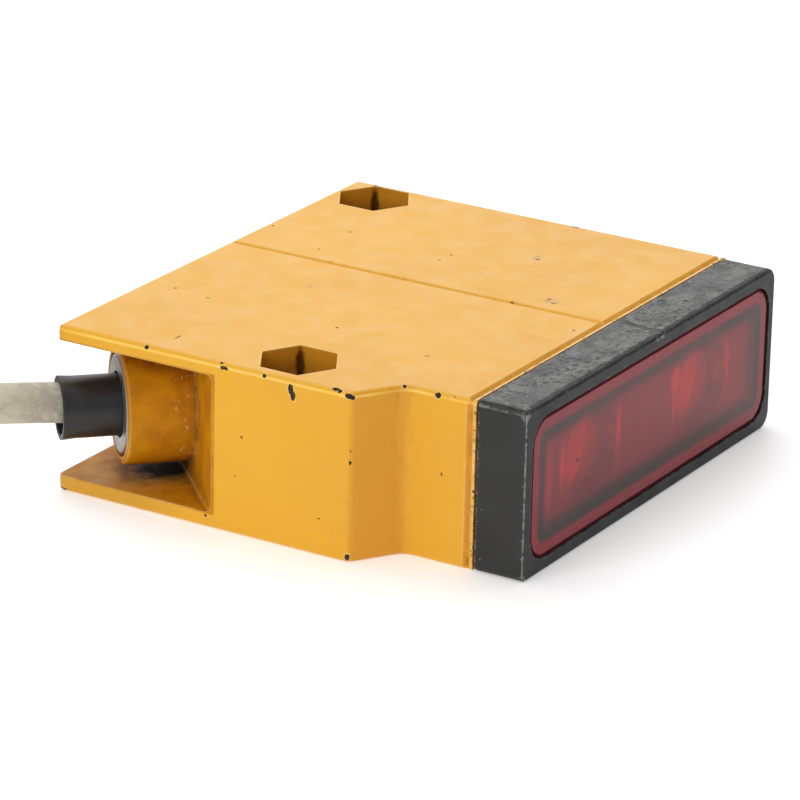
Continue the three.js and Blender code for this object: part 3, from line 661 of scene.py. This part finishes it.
def chalked_and_sheened_coat(look, up):
    """Black, chalked and flaking on top, the top lighter as chalk and painted sheen, with
    painted glints; also gives the chalk and the pits.
    """
    colour = look.mix(look.ramp(look.noise(0.006, 5, 0.6), 0.35, 0.7), BLACK, BLACK_FADED)
    # The whole top is lighter: chalked paint, and a painted sheen.
    colour = look.tint(colour, up, 0.6, CHALK_FILM_AND_SHEEN)
    chalk = look.ramp(look.noise(0.0034, 8, 0.74, stretch=(1, 0.7, 1)), 0.44, 0.56)
    chalk = look.product(up, chalk)
    colour = look.tint(colour, chalk, 0.75, CHALK_FLAKE)
    pits = look.product(up, look.ramp(look.noise(0.001, 7, 0.78), 0.55, 0.6),
                        look.ramp(look.noise(0.006, 2), 0.4, 0.55))
    colour = look.tint(colour, pits, 0.9, PIT_BLACK)
    # Painted highlight: small bright glints on the top.
    glint_highlight = look.product(up, look.ramp(look.noise(0.0009, 7, 0.75), 0.62, 0.65))
    return look.tint(colour, glint_highlight, 0.75, GLINT_HIGHLIGHT_GREY), chalk, pits


def gouged_coat(look, colour, shaken):
    """The gouge across the top and the torn top rims; also gives both."""
    depth = look.depth_in(shaken, GOUGE)
    gouge = look.ramp(depth, -0.05, 0.2)
    rim = look.product(look.ramp(depth, -0.7, -0.3), look.ramp(depth, 0.05, -0.1),
                       look.ramp(look.noise(0.0007, 5, 0.7), 0.45, 0.6))
    colour = look.tint(colour, rim, 0.7, GOUGE_RIM)
    colour = look.tint(colour, gouge, 0.9, GOUGE_BLACK)
    jagged = look.ramp(look.noise(0.0016, 8, 0.75), 0.36, 0.5)
    front_rim = look.product(look.band("X", BEZEL_FRONT - 0.6, BEZEL_FRONT, 0.15),
                             look.band("Z", BEZEL_TOP - 0.5, BEZEL_TOP + 1, 0.15), jagged)
    near_rim = look.product(look.band("Y", BEZEL_NEAR - 1, BEZEL_NEAR + 0.5, 0.15),
                            look.band("Z", BEZEL_TOP - 0.3, BEZEL_TOP + 1, 0.1), jagged)
    torn = look.highest(front_rim, near_rim)
    return look.tint(colour, torn, 0.9, TORN_BLACK), gouge, torn


def scratched_coat(look, colour, shaken, torn):
    """Pale scratches on the rims and corners, a tan line at the rear and dust."""
    upright = look.product(look.band("X", BEZEL_FRONT - 0.22, BEZEL_FRONT + 1, 0.08),
                           look.band("Y", BEZEL_NEAR - 1, BEZEL_NEAR + 0.22, 0.08),
                           look.ramp(look.noise(0.001, 8, 0.8), 0.4, 0.56))
    beside = look.product(look.band("X", BEZEL_FRONT - 0.9, BEZEL_FRONT + 1, 0.4),
                          look.band("Y", BEZEL_NEAR - 1, BEZEL_NEAR + 0.9, 0.4),
                          look.ramp(look.noise(0.0006, 6, 0.75), 0.6, 0.66))
    under_edge = look.product(look.band("Y", BEZEL_NEAR - 1, BEZEL_NEAR + 0.2),
                              look.band("Z", BEZEL_TOP - 0.85, BEZEL_TOP - 0.5, 0.12),
                              look.ramp(look.noise(0.0021, 7, 0.8), 0.4, 0.62))
    corner = look.product(look.spots(shaken, NEAR_CORNERS),
                          look.ramp(look.noise(0.0007, 8, 0.78), 0.48, 0.58))
    rubbed = look.product(look.edges(0.0005),
                          look.ramp(look.noise(0.0009, 7, 0.75), 0.54, 0.62, 0, 0.7))
    scratched = look.highest(look.product(upright, 0.7), look.product(beside, 0.6),
                             look.product(under_edge, 0.5), look.product(corner, 0.75),
                             rubbed)
    scratched = look.product(scratched, look.inverse(torn))
    colour = look.mix(scratched, colour, SCRATCH_GREY)
    rear = look.product(look.band("X", BEZEL_REAR - 1, BEZEL_REAR + 0.35, 0.15),
                        look.ramp(look.noise(0.0011, 8, 0.8), 0.52, 0.57))
    colour = look.tint(colour, rear, 0.8, REAR_TAN)
    dust = look.ramp(look.cells(0.003), 0.05, 0.03)
    return look.tint(colour, dust, 0.5, DUST_GREY)


def black_paint():
    look = Look("black_paint")
    up = look.ramp(look.facing("Z"), 0.75, 0.95)
    shaken = look.ragged(0.0007, 0.0006)
    colour, chalk, pits = chalked_and_sheened_coat(look, up)
    colour, gouge, torn = gouged_coat(look, colour, shaken)
    colour = scratched_coat(look, colour, shaken, torn)

    rough = look.ramp(look.noise(0.003, 5), 0.3, 0.7, 0.36, 0.5)
    rough = look.blend(chalk, rough, 0.6)
    skin = look.bump(look.noise(0.0006, 2), 0.00002, 0.4)
    flakes = look.product(up, look.noise(0.0026, 8, 0.7, stretch=(1, 0.7, 1)))
    worn_skin = look.bump(flakes, 0.0008, 0.9, skin)
    cuts = look.bump(look.inverse(look.highest(gouge, pits, torn)), 0.0003, 0.9, worn_skin)
    look.set(Base_Color=colour, Roughness=rough, Normal=cuts)
    front = look.ramp(look.facing("X"), 0.7, 0.95)
    look.set(Specular_IOR_Level=look.blend(front, 0.4, 0.22))
    return look


# ------------------------------ window and optics
WINDOW_CORNER = 4
LENS_YS = (27.1, 59.5)
SMUDGES = [
    ((71.3, 24.2, 9.5), (1, 0.9, 0.25)),
    ((71.3, 21.7, 13.2), (1, 0.8, 0.3)),
]
CARRIER_LOW = (13.3, 6.0)       # y and z limits of the carrier's face where a pool of light is painted
CARRIER_HIGH = (74.0, 18.75)
CARRIER_FACE = 67
BARREL_SIDE = 7.9               # from a lens's middle to the painted highlight on the side of its barrel
SPARK_HIGHLIGHT = ((69.6, LENS_YS[1] - 7.7, MID_Z + 3.2), (3, 1.7, 2.4))
NEAR_END_HIGHLIGHT = ((69.6, 15.2, MID_Z - 1), (3, 1.4, 5.5))
RED = (0.86, 0.008, 0.022)
RED_HAZY = (0.9, 0.015, 0.034)
RING_RED = (0.36, 0.009, 0.026)
LEDGE_SHADOW_RED = (0.03, 0.01, 0.01)
RIM_RED = (0.06, 0.0, 0.003)
SMUDGE_RED = (0.03, 0.002, 0.003)
SCUFF_RED = (0.1, 0.01, 0.012)


def depth_in_window(look):
    """Distance inwards from the window's rounded outline, in metres."""
    low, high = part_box("window")
    corner = WINDOW_CORNER * MM
    y = look.math("SUBTRACT", look.away("Y", (low.y + high.y) / 2),
                  (high.y - low.y) / 2 - corner)
    z = look.math("SUBTRACT", look.away("Z", (low.z + high.z) / 2),
                  (high.z - low.z) / 2 - corner)
    beyond_y, beyond_z = look.highest(y, 0.0), look.highest(z, 0.0)
    outside = look.math("SQRT", look.math("ADD", look.product(beyond_y, beyond_y),
                                          look.product(beyond_z, beyond_z)))
    inside = look.math("MINIMUM", look.highest(y, z), 0.0)
    return look.math("SUBTRACT", corner, look.math("ADD", outside, inside))


def red_window():
    look = Look("red_window")
    depth = depth_in_window(look)
    rim = look.ramp(depth, 0.6 * MM, 0.4 * MM)
    ring = look.product(look.ramp(depth, 0.5 * MM, 0.8 * MM),
                        look.ramp(depth, 2.6 * MM, 1.5 * MM),
                        look.ramp(look.noise(0.009, 4), 0.25, 0.7, 0.55, 1.0))
    # Painted shadow: a dark band inside the ring, the shade under the ledge behind the window.
    shade = look.product(look.ramp(depth, 1.7 * MM, 2.5 * MM),
                         look.ramp(depth, 5.2 * MM, 3.0 * MM),
                         look.ramp(look.noise(0.014, 3), 0.25, 0.65, 0.65, 0.95))
    haze = look.ramp(look.noise(0.012, 4), 0.3, 0.75)
    colour = look.mix(haze, RED, RED_HAZY)
    colour = look.mix(ring, colour, RING_RED)
    colour = look.mix(shade, colour, LEDGE_SHADOW_RED)
    colour = look.mix(rim, colour, RIM_RED)
    smudged = look.spots(look.ragged(0.0009, 0.0008), SMUDGES)
    colour = look.tint(colour, smudged, 0.8, SMUDGE_RED)
    scuffs = look.ramp(look.noise(0.002, 8, 0.75, stretch=(1, 0.35, 1)), 0.62, 0.72, 0, 0.4)
    colour = look.mix(scuffs, colour, SCUFF_RED)
    specks = look.ramp(look.cells(0.0035), 0.05, 0.03)
    colour = look.tint(colour, specks, 0.5, (0.3, 0.2, 0.2))
    rough = look.ramp(look.noise(0.006, 6), 0.3, 0.8, 0.05, 0.14)
    clear = look.math("SUBTRACT", 0.94, look.product(ring, 0.5))
    clear = look.product(clear, look.inverse(look.product(smudged, 0.7)), look.inverse(rim))
    shine = look.math("SUBTRACT", 0.31, look.product(rim, 0.27))
    look.set(Base_Color=colour, Roughness=look.blend(rim, rough, 0.5), IOR=1.35,
             Transmission_Weight=clear, Specular_IOR_Level=shine)
    look.set(Normal=look.bump(look.noise(0.02, 2), 0.0002, 0.15))
    return look


def clear_lens():
    look = Look("clear_lens")
    colour = look.mix(look.noise(0.003, 3), (0.5, 0.47, 0.47), (0.42, 0.4, 0.4))
    rough = look.ramp(look.noise(0.002, 4), 0.3, 0.8, 0.05, 0.12)
    look.set(Base_Color=colour, Roughness=rough, IOR=1.49, Transmission_Weight=0.9)
    return look


def carrier_plastic():
    """Black plastic; the face behind the window has a painted pool of light, with painted
    highlights beside the lenses and a painted spark.
    """
    look = Look("carrier_plastic")
    face = look.ramp(look.axis("X"), at(CARRIER_FACE - 0.5, 0, 0).x,
                     at(CARRIER_FACE + 0.5, 0, 0).x)
    # A painted pool of light: the carrier's face behind the window is paler.
    lit_field = look.product(face, look.band("Y", CARRIER_LOW[0], CARRIER_HIGH[0], 0.5),
                         look.band("Z", CARRIER_LOW[1], CARRIER_HIGH[1], 0.5))
    shade = look.mix(look.ramp(look.noise(0.008, 4), 0.3, 0.7), (0.028, 0.024, 0.024),
                     (0.085, 0.075, 0.075))
    colour = look.mix(look.noise(0.003, 4), (0.013, 0.013, 0.014), (0.022, 0.022, 0.023))
    colour = look.mix(lit_field, colour, shade)
    # Painted highlights: pale bars beside each lens, a glow at the near end and a spark by the
    # far lens, for light caught on the lens barrels.
    highlight_marks = [((69.6, lens_y + side * BARREL_SIDE, MID_Z + 0.6), (3, 1.0, 4.4))
              for lens_y in LENS_YS for side in (-1, 1)]
    highlight_bars = look.product(face, look.ramp(look.depth_in(look.place, highlight_marks), -0.3, 0.8),
                        look.ramp(look.noise(0.003, 3), 0.3, 0.55, 0.5, 0.9))
    end_highlight = look.product(face, look.ramp(look.depth_in(look.place, [NEAR_END_HIGHLIGHT]),
                                        -0.3, 0.6, 0, 0.5))
    spark_highlight = look.product(face, look.ramp(look.depth_in(look.place, [SPARK_HIGHLIGHT]), -0.1, 0.5))
    pale = look.highest(spark_highlight, highlight_bars, end_highlight)
    colour = look.mix(pale, colour, (0.97, 0.96, 0.95))
    look.set(Base_Color=colour, Normal=look.bump(look.noise(0.0004, 3), 0.00001, 0.6),
             Roughness=look.ramp(look.noise(0.002, 4), 0.3, 0.7, 0.4, 0.55))
    return look


def translucent(name, colour, rough, clear):
    """Tinted clear plastic with swirls and a few dust specks."""
    look = Look(name)
    deep = tuple(part * 0.7 for part in colour)
    tint = look.mix(look.ramp(look.noise(0.0012, 4), 0.3, 0.7), colour, deep)
    dust = look.ramp(look.cells(0.0009), 0.08, 0.05, 0, 0.4)
    look.set(Base_Color=look.mix(dust, tint, (0.6, 0.58, 0.55)), IOR=1.5,
             Roughness=look.ramp(look.noise(0.0008, 3), 0.3, 0.7, rough, rough + 0.1),
             Transmission_Weight=clear)
    return look


# ------------------------------ plastics and metals
TARNISH = (0.2, 0.19, 0.2)


def moulded(name, colour, rough, grain=0.0004, depth=0.00001, lighter=1.25):
    """Moulded plastic or rubber: a fine grain, uneven gloss and a little dust."""
    look = Look(name)
    pale = tuple(min(part * lighter + 0.004, 1) for part in colour)
    patches = look.mix(look.ramp(look.noise(0.004, 5), 0.3, 0.75), colour, pale)
    dust = look.ramp(look.cells(0.0016), 0.07, 0.04, 0, 0.45)
    tint = look.mix(dust, patches, tuple(0.5 * part + 0.12 for part in colour))
    gloss = look.ramp(look.noise(0.002, 4), 0.3, 0.7, rough - 0.06, rough + 0.08)
    look.set(Base_Color=tint, Roughness=gloss,
             Normal=look.bump(look.noise(grain, 3), depth, 0.6))
    return look


def brushed_metal(name, colour, rough):
    """Metal with a grain along Z and patches of tarnish."""
    look = Look(name)
    grain = look.noise(0.0008, 6, 0.7, stretch=(1, 1, 0.15))
    tint = look.mix(look.ramp(look.noise(0.0015, 5, 0.7), 0.45, 0.75, 0, 0.6),
                    colour, TARNISH)
    look.set(Base_Color=tint, Metallic=1.0,
             Roughness=look.ramp(grain, 0.3, 0.7, rough - 0.08, rough + 0.12),
             Normal=look.bump(grain, 0.00001, 0.5))
    return look


# ------------------------------ electronics
TRACK = 1.27            # spacing of tracks, pins and pads


def stripes(look, axis, pitch, low=0.2, high=0.35):
    """1 on evenly spaced lines across an axis, 0 between them."""
    turns = look.product(look.axis(axis), 2 * math.pi / (pitch * MM))
    return look.ramp(look.math("SINE", turns), low, high)


def circuit_board():
    """Green lacquer over copper tracks, with tinned pads."""
    look = Look("circuit_board")
    base = look.mix(look.ramp(look.noise(0.004, 4), 0.3, 0.7), (0.012, 0.115, 0.045),
                    (0.018, 0.15, 0.06))
    zones = look.ramp(look.noise(0.008, 1), 0.47, 0.49)
    other = look.inverse(zones)
    lines = look.highest(look.product(stripes(look, "Y", TRACK), zones),
                         look.product(stripes(look, "Z", TRACK), other),
                         look.product(stripes(look, "X", TRACK, 0.5, 0.6), other))
    colour = look.tint(base, lines, 0.6, (0.05, 0.3, 0.11))
    pads = look.product(look.ramp(look.cells(2 * TRACK * MM, randomness=0.4), 0.2, 0.17),
                        look.ramp(look.noise(0.006, 2), 0.5, 0.55))
    colour = look.mix(pads, colour, (0.62, 0.6, 0.56))
    look.set(Base_Color=colour, Metallic=look.product(pads, 0.9),
             Roughness=look.blend(pads, 0.32, 0.25),
             Normal=look.bump(look.highest(lines, pads), 0.00004, 0.7))
    return look


def chip(name, foot_height, along):
    """A black moulded package: tinned legs round the foot, a dimpled matt top."""
    look = Look(name)
    low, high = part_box(name)
    body = look.mix(look.ramp(look.noise(0.0012, 5), 0.3, 0.7), (0.012, 0.012, 0.013),
                    (0.024, 0.024, 0.025))
    foot = look.ramp(look.axis("Z"), low.z + foot_height * MM, low.z + 0.8 * foot_height * MM)
    side = look.ramp(look.math("ABSOLUTE", look.facing("Z")), 0.5, 0.3)
    legs = look.product(foot, side, stripes(look, along, TRACK, -0.1, 0.1))
    dot = look.vector("DISTANCE", look.place,
                      (low.x + 1.2 * MM, low.y + 1.2 * MM, high.z))
    mark = look.ramp(dot, 0.55 * MM, 0.45 * MM)
    colour = look.tint(body, mark, 0.4, (0.06, 0.06, 0.06))
    colour = look.mix(legs, colour, (0.66, 0.66, 0.68))
    raised = look.inverse(mark)
    look.set(Base_Color=colour, Metallic=legs, Roughness=look.blend(legs, 0.62, 0.3),
             Normal=look.bump(raised, 0.0001, 0.8,
                              look.bump(look.noise(0.0002, 3), 0.00001, 0.6)))
    return look


def can_capacitor(name):
    """A blue sleeve with a pale stripe down one side and a scored metal end."""
    look = Look(name)
    low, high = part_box(name)
    middle = (low + high) / 2
    top = look.ramp(look.facing("Z"), 0.7, 0.9)
    sleeve = look.mix(look.ramp(look.noise(0.002, 4), 0.3, 0.7), (0.012, 0.035, 0.16),
                      (0.02, 0.05, 0.21))
    stripe = look.ramp(look.axis("X"), middle.x + 0.7 * (high.x - middle.x),
                       middle.x + 0.78 * (high.x - middle.x))
    dashes = stripes(look, "Z", 2.2, -0.3, -0.2)
    colour = look.mix(stripe, sleeve, (0.55, 0.58, 0.66))
    colour = look.mix(look.product(stripe, dashes), colour, (0.02, 0.04, 0.14))
    colour = look.mix(top, colour, (0.62, 0.62, 0.64))
    cross = None
    for axis, centre in (("X", middle.x), ("Y", middle.y)):
        line = look.ramp(look.away(axis, centre), 0.2 * MM, 0.1 * MM)
        cross = line if cross is None else look.highest(cross, line)
    scored = look.product(cross, top)
    colour = look.mix(scored, colour, (0.2, 0.2, 0.21))
    look.set(Base_Color=colour, Metallic=top, Roughness=look.blend(top, 0.3, 0.35),
             Normal=look.bump(look.inverse(scored), 0.0001, 0.8))
    return look


def wound_inductor(name):
    """Dark ferrite ends with a band of enamelled copper turns between them."""
    look = Look(name)
    low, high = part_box(name)
    flange = (high.z - low.z) / 4
    wound = look.product(look.ramp(look.axis("Z"), low.z + flange, low.z + 1.1 * flange),
                         look.ramp(look.axis("Z"), high.z - flange, high.z - 1.1 * flange),
                         look.ramp(look.math("ABSOLUTE", look.facing("Z")), 0.5, 0.3))
    wires = stripes(look, "Z", 0.32, -0.8, 0.5)
    copper = look.mix(wires, (0.16, 0.05, 0.015), (0.55, 0.2, 0.07))
    ferrite = look.mix(look.ramp(look.noise(0.0006, 5), 0.3, 0.7), (0.02, 0.02, 0.021),
                       (0.05, 0.05, 0.052))
    look.set(Base_Color=look.mix(wound, ferrite, copper),
             Metallic=look.product(wound, 0.8),
             Roughness=look.blend(wound, 0.6, 0.3),
             Normal=look.bump(look.product(wires, wound), 0.0001, 0.8))
    return look


def pin_header(name):
    """A black block with a row of gilt pins showing on its faces."""
    look = Look(name)
    low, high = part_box(name)
    body = look.mix(look.noise(0.001, 4), (0.015, 0.015, 0.016), (0.028, 0.028, 0.029))
    level = look.away("Z", (low.z + high.z) / 2)
    pins = look.product(look.ramp(level, 0.45 * MM, 0.35 * MM),
                        stripes(look, "Y", 2 * TRACK, 0.6, 0.7),
                        look.ramp(look.math("ABSOLUTE", look.facing("X")), 0.5, 0.7))
    seams = stripes(look, "Y", 2 * TRACK, -0.95, -0.99)
    colour = look.mix(pins, body, (0.8, 0.56, 0.18))
    colour = look.tint(colour, seams, 0.6, (0.005, 0.005, 0.005))
    look.set(Base_Color=colour, Metallic=pins, Roughness=look.blend(pins, 0.5, 0.25),
             Normal=look.bump(look.math("SUBTRACT", pins, seams), 0.0001, 0.7))
    return look


def photodiode_can(name):
    """A plated can with a dark glass face."""
    look = Look(name)
    low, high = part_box(name)
    middle = tuple((low + high) / 2)
    offset = look.vector("MULTIPLY", look.vector("SUBTRACT", look.place, middle), (0, 1, 1))
    around = look.vector("LENGTH", offset, (0, 0, 0))
    front = look.product(look.ramp(look.facing("X"), 0.6, 0.8),
                         look.ramp(around, 1.55 * MM, 1.45 * MM))
    die = look.product(front, look.ramp(around, 0.9 * MM, 0.8 * MM))
    plated = look.mix(look.ramp(look.noise(0.001, 5), 0.4, 0.75), (0.72, 0.62, 0.4),
                      (0.52, 0.45, 0.32))
    colour = look.mix(front, plated, (0.03, 0.035, 0.05))
    colour = look.mix(die, colour, (0.12, 0.06, 0.16))
    look.set(Base_Color=colour, Metallic=look.inverse(front),
             Roughness=look.blend(front, 0.3, 0.08),
             Normal=look.bump(look.noise(0.0004, 3), 0.00001, 0.5))
    return look


def white_rotor():
    """White plastic, yellowed and soiled in the slot."""
    look = Look("white_rotor")
    base = look.mix(look.ramp(look.noise(0.0012, 4), 0.3, 0.7), (0.74, 0.72, 0.65),
                    (0.66, 0.63, 0.54))
    soiled = look.product(look.corners(0.0012),
                          look.ramp(look.noise(0.0005, 4), 0.3, 0.6))
    scuffs = look.ramp(look.noise(0.0004, 6, 0.7, stretch=(1, 1, 3)), 0.58, 0.7, 0, 0.5)
    colour = look.mix(scuffs, base, (0.42, 0.4, 0.35))
    colour = look.tint(colour, soiled, 0.8, (0.12, 0.1, 0.07))
    look.set(Base_Color=colour, Roughness=look.ramp(look.noise(0.001, 3), 0.3, 0.7, 0.38, 0.5),
             Normal=look.bump(look.noise(0.0003, 3), 0.00001, 0.6))
    return look


# ------------------------------ cable and sleeve
def grey_jacket():
    look = Look("grey_jacket")
    colour = look.mix(look.ramp(look.noise(0.006, 4), 0.3, 0.7), (0.5, 0.455, 0.345),
                      (0.57, 0.525, 0.405))
    smudge = look.ramp(look.noise(0.0035, 6, 0.7, stretch=(1, 1, 1.6)), 0.5, 0.72, 0, 0.5)
    colour = look.mix(smudge, colour, (0.23, 0.2, 0.15))
    mouth = look.vector("DISTANCE", look.place, tuple(at(*on_diagonal(-0.6, 0.8))))
    soiled = look.product(look.ramp(mouth, 0.0085, 0.002),
                          look.ramp(look.noise(0.0015, 4), 0.3, 0.6))
    colour = look.tint(colour, soiled, 0.5, (0.16, 0.14, 0.11))
    look.set(Base_Color=colour, Roughness=look.ramp(look.noise(0.002, 4), 0.3, 0.7, 0.5, 0.62),
             Normal=look.bump(look.noise(0.0007, 3), 0.00003, 0.4))
    return look


steel = brushed_metal("bright_steel", (0.5, 0.5, 0.52), 0.38)
black_rubber = moulded("black_rubber", (0.0095, 0.0098, 0.0105), 0.42, 0.0009, 0.00003, 1.5)
board = circuit_board()
lens_plastic = clear_lens()
LOOKS = {
    "housing": yellow_paint(),
    "front_bezel": black_paint(),
    "window": red_window(),
    "window_gasket": moulded("grey_rubber", (0.62, 0.58, 0.57), 0.7, 0.0006, 0.00002),
    "front_gasket": black_rubber,
    "optics_carrier": carrier_plastic(),
    "emitter_lens": lens_plastic,
    "receiver_lens": lens_plastic,
    "optics_board": board,
    "main_board": board,
    "emitter_led": translucent("emitter_epoxy", (0.92, 0.72, 0.7), 0.06, 0.85),
    "receiver_photodiode": photodiode_can("receiver_photodiode"),
    "microcontroller": chip("microcontroller", 0.9, "Y"),
    "amplifier_chip": chip("amplifier_chip", 0.9, "Y"),
    "output_transistor": chip("output_transistor", 1.2, "Y"),
    "supply_capacitor": can_capacitor("supply_capacitor"),
    "filter_capacitor": can_capacitor("filter_capacitor"),
    "inductor": wound_inductor("inductor"),
    "board_header": pin_header("board_header"),
    "trimmer_body": moulded("trimmer_blue", (0.025, 0.11, 0.38), 0.42, 0.0005, 0.00001),
    "adjuster_rotor": white_rotor(),
    "adjuster_seal": black_rubber,
    "indicator_lens": translucent("amber_lens", (0.85, 0.42, 0.03), 0.12, 0.6),
    "indicator_led": translucent("red_led", (0.75, 0.05, 0.02), 0.1, 0.5),
    "gland_ring": brushed_metal("gland_steel", (0.36, 0.35, 0.34), 0.42),
    "cable_sleeve": black_rubber,
    "cable_crimp": steel,
}
LEAD_COLOURS = {"brown": (0.16, 0.055, 0.02), "blue": (0.02, 0.09, 0.38),
                "black": (0.012, 0.012, 0.013)}
lead_looks = {colour: moulded("lead_" + colour, value, 0.35, 0.0003, 0.000005)
              for colour, value in LEAD_COLOURS.items()}


def look_for(name):
    """The look of a node by its name; screws and tinned tips are bare metal."""
    if name in LOOKS:
        return LOOKS[name]
    for colour, look in lead_looks.items():
        if colour in name and "tip" not in name:
            return look
    return steel


# ------------------------------ edges of CAD nodes
SHARP_ANGLE = 35        # degrees; flatter joins between faces stay smooth
FINE_EDGES = {"housing": 0.18, "front_bezel": 0.15, "window": 0.12}
OTHER_EDGES = 0.1


def fine_edges(piece, width):
    """Joins flat facets and rounds sharp edges with modifiers; the CAD mesh stays."""
    mesh = piece.data
    if "custom_normal" in mesh.attributes:
        mesh.attributes.remove(mesh.attributes["custom_normal"])
    mesh.polygons.foreach_set("use_smooth", [True] * len(mesh.polygons))
    weld = piece.modifiers.new("weld", "WELD")
    weld.merge_threshold = 0.002 * MM
    flat = piece.modifiers.new("flat", "DECIMATE")
    flat.decimate_type = "DISSOLVE"
    flat.angle_limit = math.radians(0.5)
    bevel = piece.modifiers.new("bevel", "BEVEL")
    bevel.width = width * MM
    bevel.segments = 2
    bevel.limit_method = "ANGLE"
    bevel.angle_limit = math.radians(SHARP_ANGLE)
    normals = piece.modifiers.new("normals", "WEIGHTED_NORMAL")
    normals.weight = 80
    normals.keep_sharp = True


for node_name, obj in nodes.items():
    dress(obj, look_for(node_name))
    fine_edges(obj, FINE_EDGES.get(node_name, OTHER_EDGES))
dress(cable, grey_jacket())


# ------------------------------ stage and light
FLOOR_GLOW = 0.28
WORLD_LIGHT = 0.45


def make_stage():
    bpy.ops.mesh.primitive_plane_add(size=6, location=(0, 0, -0.00005))
    floor = bpy.context.object
    floor.name = "floor"
    look = Look("floor")
    look.set(Base_Color=look.mix(look.noise(0.05, 3), (0.92, 0.92, 0.925), (0.95, 0.95, 0.95)),
             Roughness=0.6, Emission_Color=(1, 1, 1), Emission_Strength=FLOOR_GLOW)
    dress(floor, look)


def area_light(name, place, target, size, power):
    data = bpy.data.lights.new(name, "AREA")
    data.shape = "RECTANGLE"
    data.size, data.size_y = size
    data.energy = power
    light = bpy.data.objects.new(name, data)
    light.location = place
    light.rotation_euler = (Vector(target) - Vector(place)).to_track_quat("-Z", "Y").to_euler()
    scene.collection.objects.link(light)


make_stage()
area_light("back_light", (-0.48, 0.8, 0.4), (0, 0, 0), (1.2, 0.9), 3.7)
area_light("top_light", (-0.15, 0.1, 0.6), (0, 0, 0), (0.6, 0.6), 1.8)
area_light("front_light", (-0.12, -0.75, 0.48), (0, 0, 0), (0.5, 0.5), 2.7)

world = bpy.data.worlds.new("world")
world.use_nodes = True
world.node_tree.nodes["Background"].inputs["Color"].default_value = (1, 1, 1, 1)
world.node_tree.nodes["Background"].inputs["Strength"].default_value = WORLD_LIGHT
scene.world = world
scene.view_settings.view_transform = "Standard"
